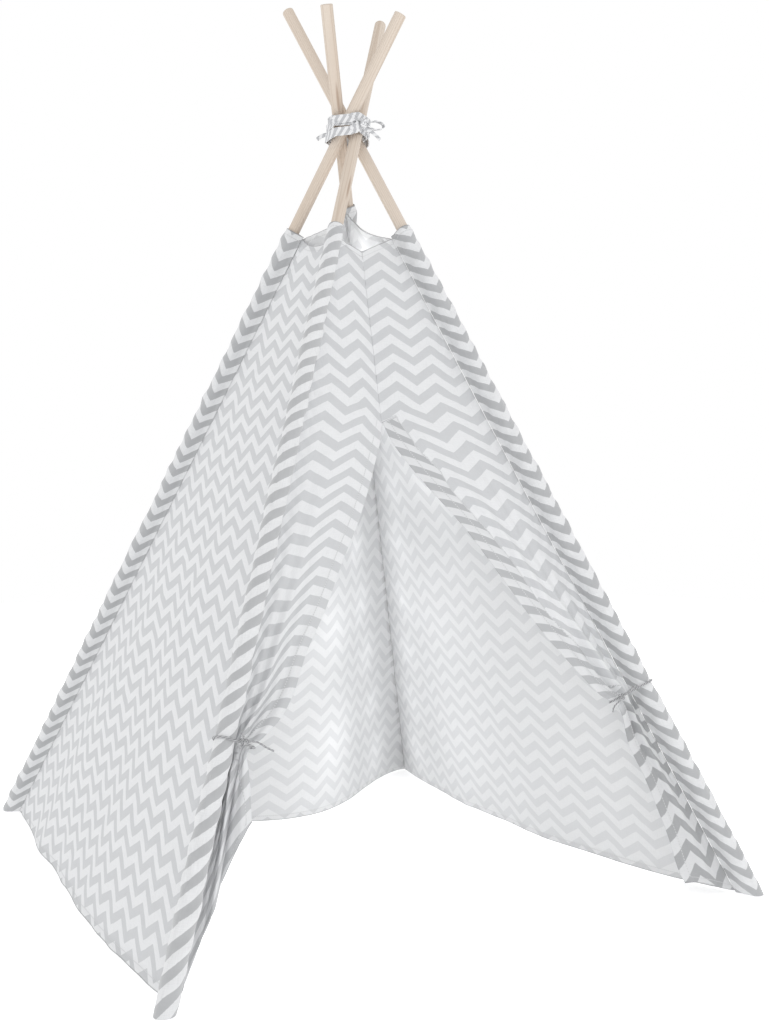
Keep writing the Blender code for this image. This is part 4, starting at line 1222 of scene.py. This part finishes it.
loop_start = knot_at + knot_side * (KNOT_DEPTH + 0.0016) - UP * 0.002
out_dir = unit(knot_side * 0.95 + knot_face * 0.30 + UP * 0.12)
lift = unit(np.cross(out_dir, knot_face))
LOOP_ROWS, LOOP_LONG, LOOP_TALL, LOOP_WIDE, LOOP_THICK = 60, 0.0175, 0.0075, 0.0090, 0.0015
line = []
for i in range(LOOP_ROWS + 1):
    q = 2 * math.pi * (0.04 + 0.92 * i / LOOP_ROWS)
    line.append(loop_start + out_dir * LOOP_LONG * (1 - math.cos(q)) + lift * LOOP_TALL * math.sin(q))
middle = sum(line) / len(line)
outlines = ribbon(line, [unit(p - middle) for p in line], LOOP_WIDE, LOOP_THICK, 0.0003, 9)
loop = closed_strip("lashing_bow_loop", outlines, strip_cotton, lengths(line))

RIGHT_END = (
    (28, -1385, 13280), (70, -1386, 13277), (113, -1387, 13270), (155, -1388, 13258), (198, -1389, 13242),
    (240, -1390, 13220), (283, -1391, 13194), (325, -1392, 13163), (367, -1393, 13127),
)
LEFT_END = (
    (-449, -814, 13276), (-472, -792, 13275), (-494, -771, 13269), (-517, -749, 13259), (-539, -728, 13246),
    (-562, -706, 13229), (-584, -684, 13208),
)
END_WIDE, END_THICK = 0.0072, 0.0014


def loose_end(name, points, faces_to, seed):
    points = tenths(points)
    line = resampled(points, max(3, int(round(lengths(points)[-1] / 0.0012)) + 1))
    rows = ribbon(line, [faces_to] * len(line), END_WIDE, END_THICK, 0.0002, seed)
    return closed_strip(name, rows, strip_cotton, lengths(line))


end_right = loose_end("lashing_free_end_right", RIGHT_END, knot_face, 3)
left_face = unit([math.cos(math.radians(168)), math.sin(math.radians(168)), 0.0])
end_left = loose_end("lashing_free_end_left", LEFT_END, unit(np.cross(UP, left_face)), 4)
for piece, node in (
    (wrap, "lashing_wrap"), (knot, "lashing_knot"), (loop, "lashing_loop"),
    (end_left, "lashing_end_left"), (end_right, "lashing_end_right"),
):
    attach(piece, "crown")
    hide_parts(node)
print("lashing: knot, loop and two ends")

# %% [markdown]
# ## The ties
#
# A twisted cotton cord, 3.4 mm thick, holds each bunch of cloth to its pole: once round, a small knot
# and two short ends, which are pulled a little thinner. A plain round tube would do from afar. The
# cord's three strands are pressed into its outline, and painted shade darkens the grooves between
# them, so that it also looks laid from near by. The lines are drawn in tenths of a millimetre.

# %% Laid cotton cord
STRING = 0.0034
STRING_END = 0.0028
LAY = 0.0186
cord_cotton = Surface("twisted_cotton")
cord_u, cord_v = cord_cotton.cloth_place()
strands = ((cord_u / 0.0030) + (cord_v / 0.0062)).wave()
hair = cord_cotton.noise(cord_cotton.cloth_vector(), 1500.0, 3.0)
# painted shade: the grooves between the strands are painted near black
cord_cotton.put("Base Color", cord_cotton.mix(
    strands.step(0.15, 0.6) * (0.75 + 0.25 * hair), (0.15, 0.152, 0.16), (0.50, 0.505, 0.515)))
cord_cotton.put("Roughness", 0.85 + 0.1 * hair)
cord_cotton.put("Sheen Weight", 0.2)
cord_cotton.bump(strands * 0.0004, hair * 0.0002)


def twisted(name, points, diameter, surface, step=0.0011):
    """A laid cord along a line: a round tube that its three strands swell."""
    line = smooth_line(points, max(4, int(round(lengths(points)[-1] / step))))
    s = lengths(line)
    normal = unit(np.cross(unit(line[1] - line[0]), [0.31, 0.17, 0.93]))
    rows = []
    for i, p in enumerate(line):
        t = unit(line[min(i + 1, len(line) - 1)] - line[max(i - 1, 0)])
        normal = unit(normal - t * np.dot(normal, t))
        other = np.cross(t, normal)
        phase = 2 * math.pi * s[i] / LAY
        ring = []
        for k in range(15):
            q = 2 * math.pi * k / 15
            r = diameter / 2 * (0.93 + 0.07 * math.cos(3 * (q - phase)))
            ring.append(p + (math.cos(q) * normal + math.sin(q) * other) * r)
        rows.append(ring)
    return closed_strip(name, np.array(rows), surface, s), line


print("cord:", cord_cotton.material.name)

# %% Where the cords run
TIE_LEFT = (
    (-3568, -4599, 2901), (-3532, -4633, 2900), (-3497, -4668, 2899), (-3463, -4705, 2900),
    (-3432, -4743, 2902), (-3400, -4781, 2904), (-3371, -4820, 2907), (-3397, -4852, 2928),
    (-3440, -4864, 2948), (-3486, -4870, 2967), (-3531, -4876, 2986), (-3576, -4882, 3005),
    (-3622, -4888, 3024), (-3667, -4895, 3043), (-3712, -4901, 3062), (-3758, -4906, 3081),
    (-3804, -4898, 3095), (-3848, -4877, 3104), (-3884, -4844, 3105), (-3910, -4802, 3100),
    (-3922, -4756, 3088), (-3919, -4710, 3071), (-3902, -4669, 3050), (-3873, -4636, 3028),
    (-3834, -4616, 3006), (-3790, -4606, 2986), (-3745, -4599, 2967), (-3700, -4591, 2947),
    (-3655, -4584, 2928),
)
TIE_RIGHT = (
    (3590, -4412, 3230), (3636, -4421, 3250), (3681, -4430, 3270), (3727, -4440, 3290), (3771, -4453, 3310),
    (3808, -4478, 3333), (3834, -4515, 3356), (3845, -4560, 3377), (3841, -4607, 3393), (3822, -4653, 3403),
    (3790, -4691, 3406), (3748, -4719, 3402), (3701, -4734, 3390), (3654, -4734, 3373), (3607, -4727, 3354),
    (3561, -4721, 3335), (3515, -4714, 3316), (3468, -4707, 3296), (3422, -4701, 3277), (3376, -4694, 3258),
    (3329, -4687, 3239), (3283, -4681, 3220), (3237, -4674, 3200), (3190, -4667, 3181), (3144, -4661, 3162),
    (3098, -4654, 3143), (3051, -4648, 3124), (3005, -4641, 3104), (2967, -4620, 3083), (2979, -4579, 3072),
    (3025, -4560, 3081), (3071, -4541, 3091), (3116, -4521, 3100), (3162, -4502, 3109), (3208, -4482, 3118),
    (3255, -4469, 3130), (3302, -4456, 3142), (3350, -4443, 3155), (3397, -4430, 3167), (3445, -4418, 3180),
    (3492, -4407, 3193),
)
ENDS = {
    "left_1": (
        (-3501, -4929, 3021), (-3472, -4931, 3018), (-3435, -4926, 3015), (-3370, -4928, 3001),
        (-3314, -4945, 2969), (-3261, -4957, 2930), (-3203, -4958, 2898), (-3143, -4955, 2867),
    ),
    "left_2": (
        (-3578, -4952, 3059), (-3589, -4969, 3080), (-3590, -4988, 3103), (-3628, -5025, 3130),
        (-3647, -5069, 3163),
    ),
    "right_1": (
        (3086, -4724, 3154), (3061, -4735, 3141), (3043, -4757, 3115), (2986, -4771, 3083),
        (2928, -4781, 3050), (2878, -4798, 3009), (2848, -4825, 2955),
    ),
    "right_2": (
        (3161, -4731, 3212), (3178, -4746, 3232), (3212, -4764, 3247), (3244, -4800, 3296),
        (3274, -4838, 3343), (3328, -4873, 3371),
    ),
}
TIE_KNOTS = {
    "left": ((-0.35621, -0.49243, 0.30252), (-0.698, -0.487, 0.526)),
    "right": ((0.31308, -0.47051, 0.31783), (0.191, -0.861, 0.472)),
}
print("cords of", len(TIE_LEFT), "and", len(TIE_RIGHT), "points")

# %% Tie the two cords
for side, points in (("left", TIE_LEFT), ("right", TIE_RIGHT)):
    string, _ = twisted(f"tie_cord_{side}", tenths(points), STRING, cord_cotton.material)
    place, face = TIE_KNOTS[side]
    bead = tied_knot(
        f"tie_cord_knot_{side}", np.array(place), face, size=0.0052, strand=0.0016, surface=cord_cotton.material)
    for piece, node in ((string, f"tie_string_{side}"), (bead, f"tie_knot_{side}")):
        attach(piece, f"leg_front_{side}")
        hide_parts(node)
for title, points in ENDS.items():
    side = title.split("_")[0]
    piece, line = twisted(f"tie_free_end_{title}", tenths(points), STRING_END, cord_cotton.material)
    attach(piece, f"leg_front_{side}")
    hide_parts(f"tie_end_{title}")
    print(title, "end", round(lengths(line)[-1] * 1000, 1), "mm")
print("ties done")

# %% [markdown]
# ## The floor
#
# One pale sheet of studio paper, far larger than the view. It isn't part of the teepee.

# %% Floor
bpy.ops.object.select_all(action="DESELECT")
bpy.ops.mesh.primitive_plane_add(size=16.0, location=(0.0, 2.0, -0.0005))
floor = bpy.context.active_object
floor.name = "floor"
paper = Surface("studio_paper")
grain = paper.noise(paper.object_vector(), 220.0, 3.0)
paper.put("Base Color", paper.mix(grain * 0.3, (0.93, 0.93, 0.93), (0.90, 0.90, 0.905)))
paper.put("Roughness", 0.9)
paper.put("Emission Color", (1.0, 1.0, 1.0, 1.0))
paper.put("Emission Strength", 0.42)
floor.data.materials.append(paper.material)
print("floor ready")
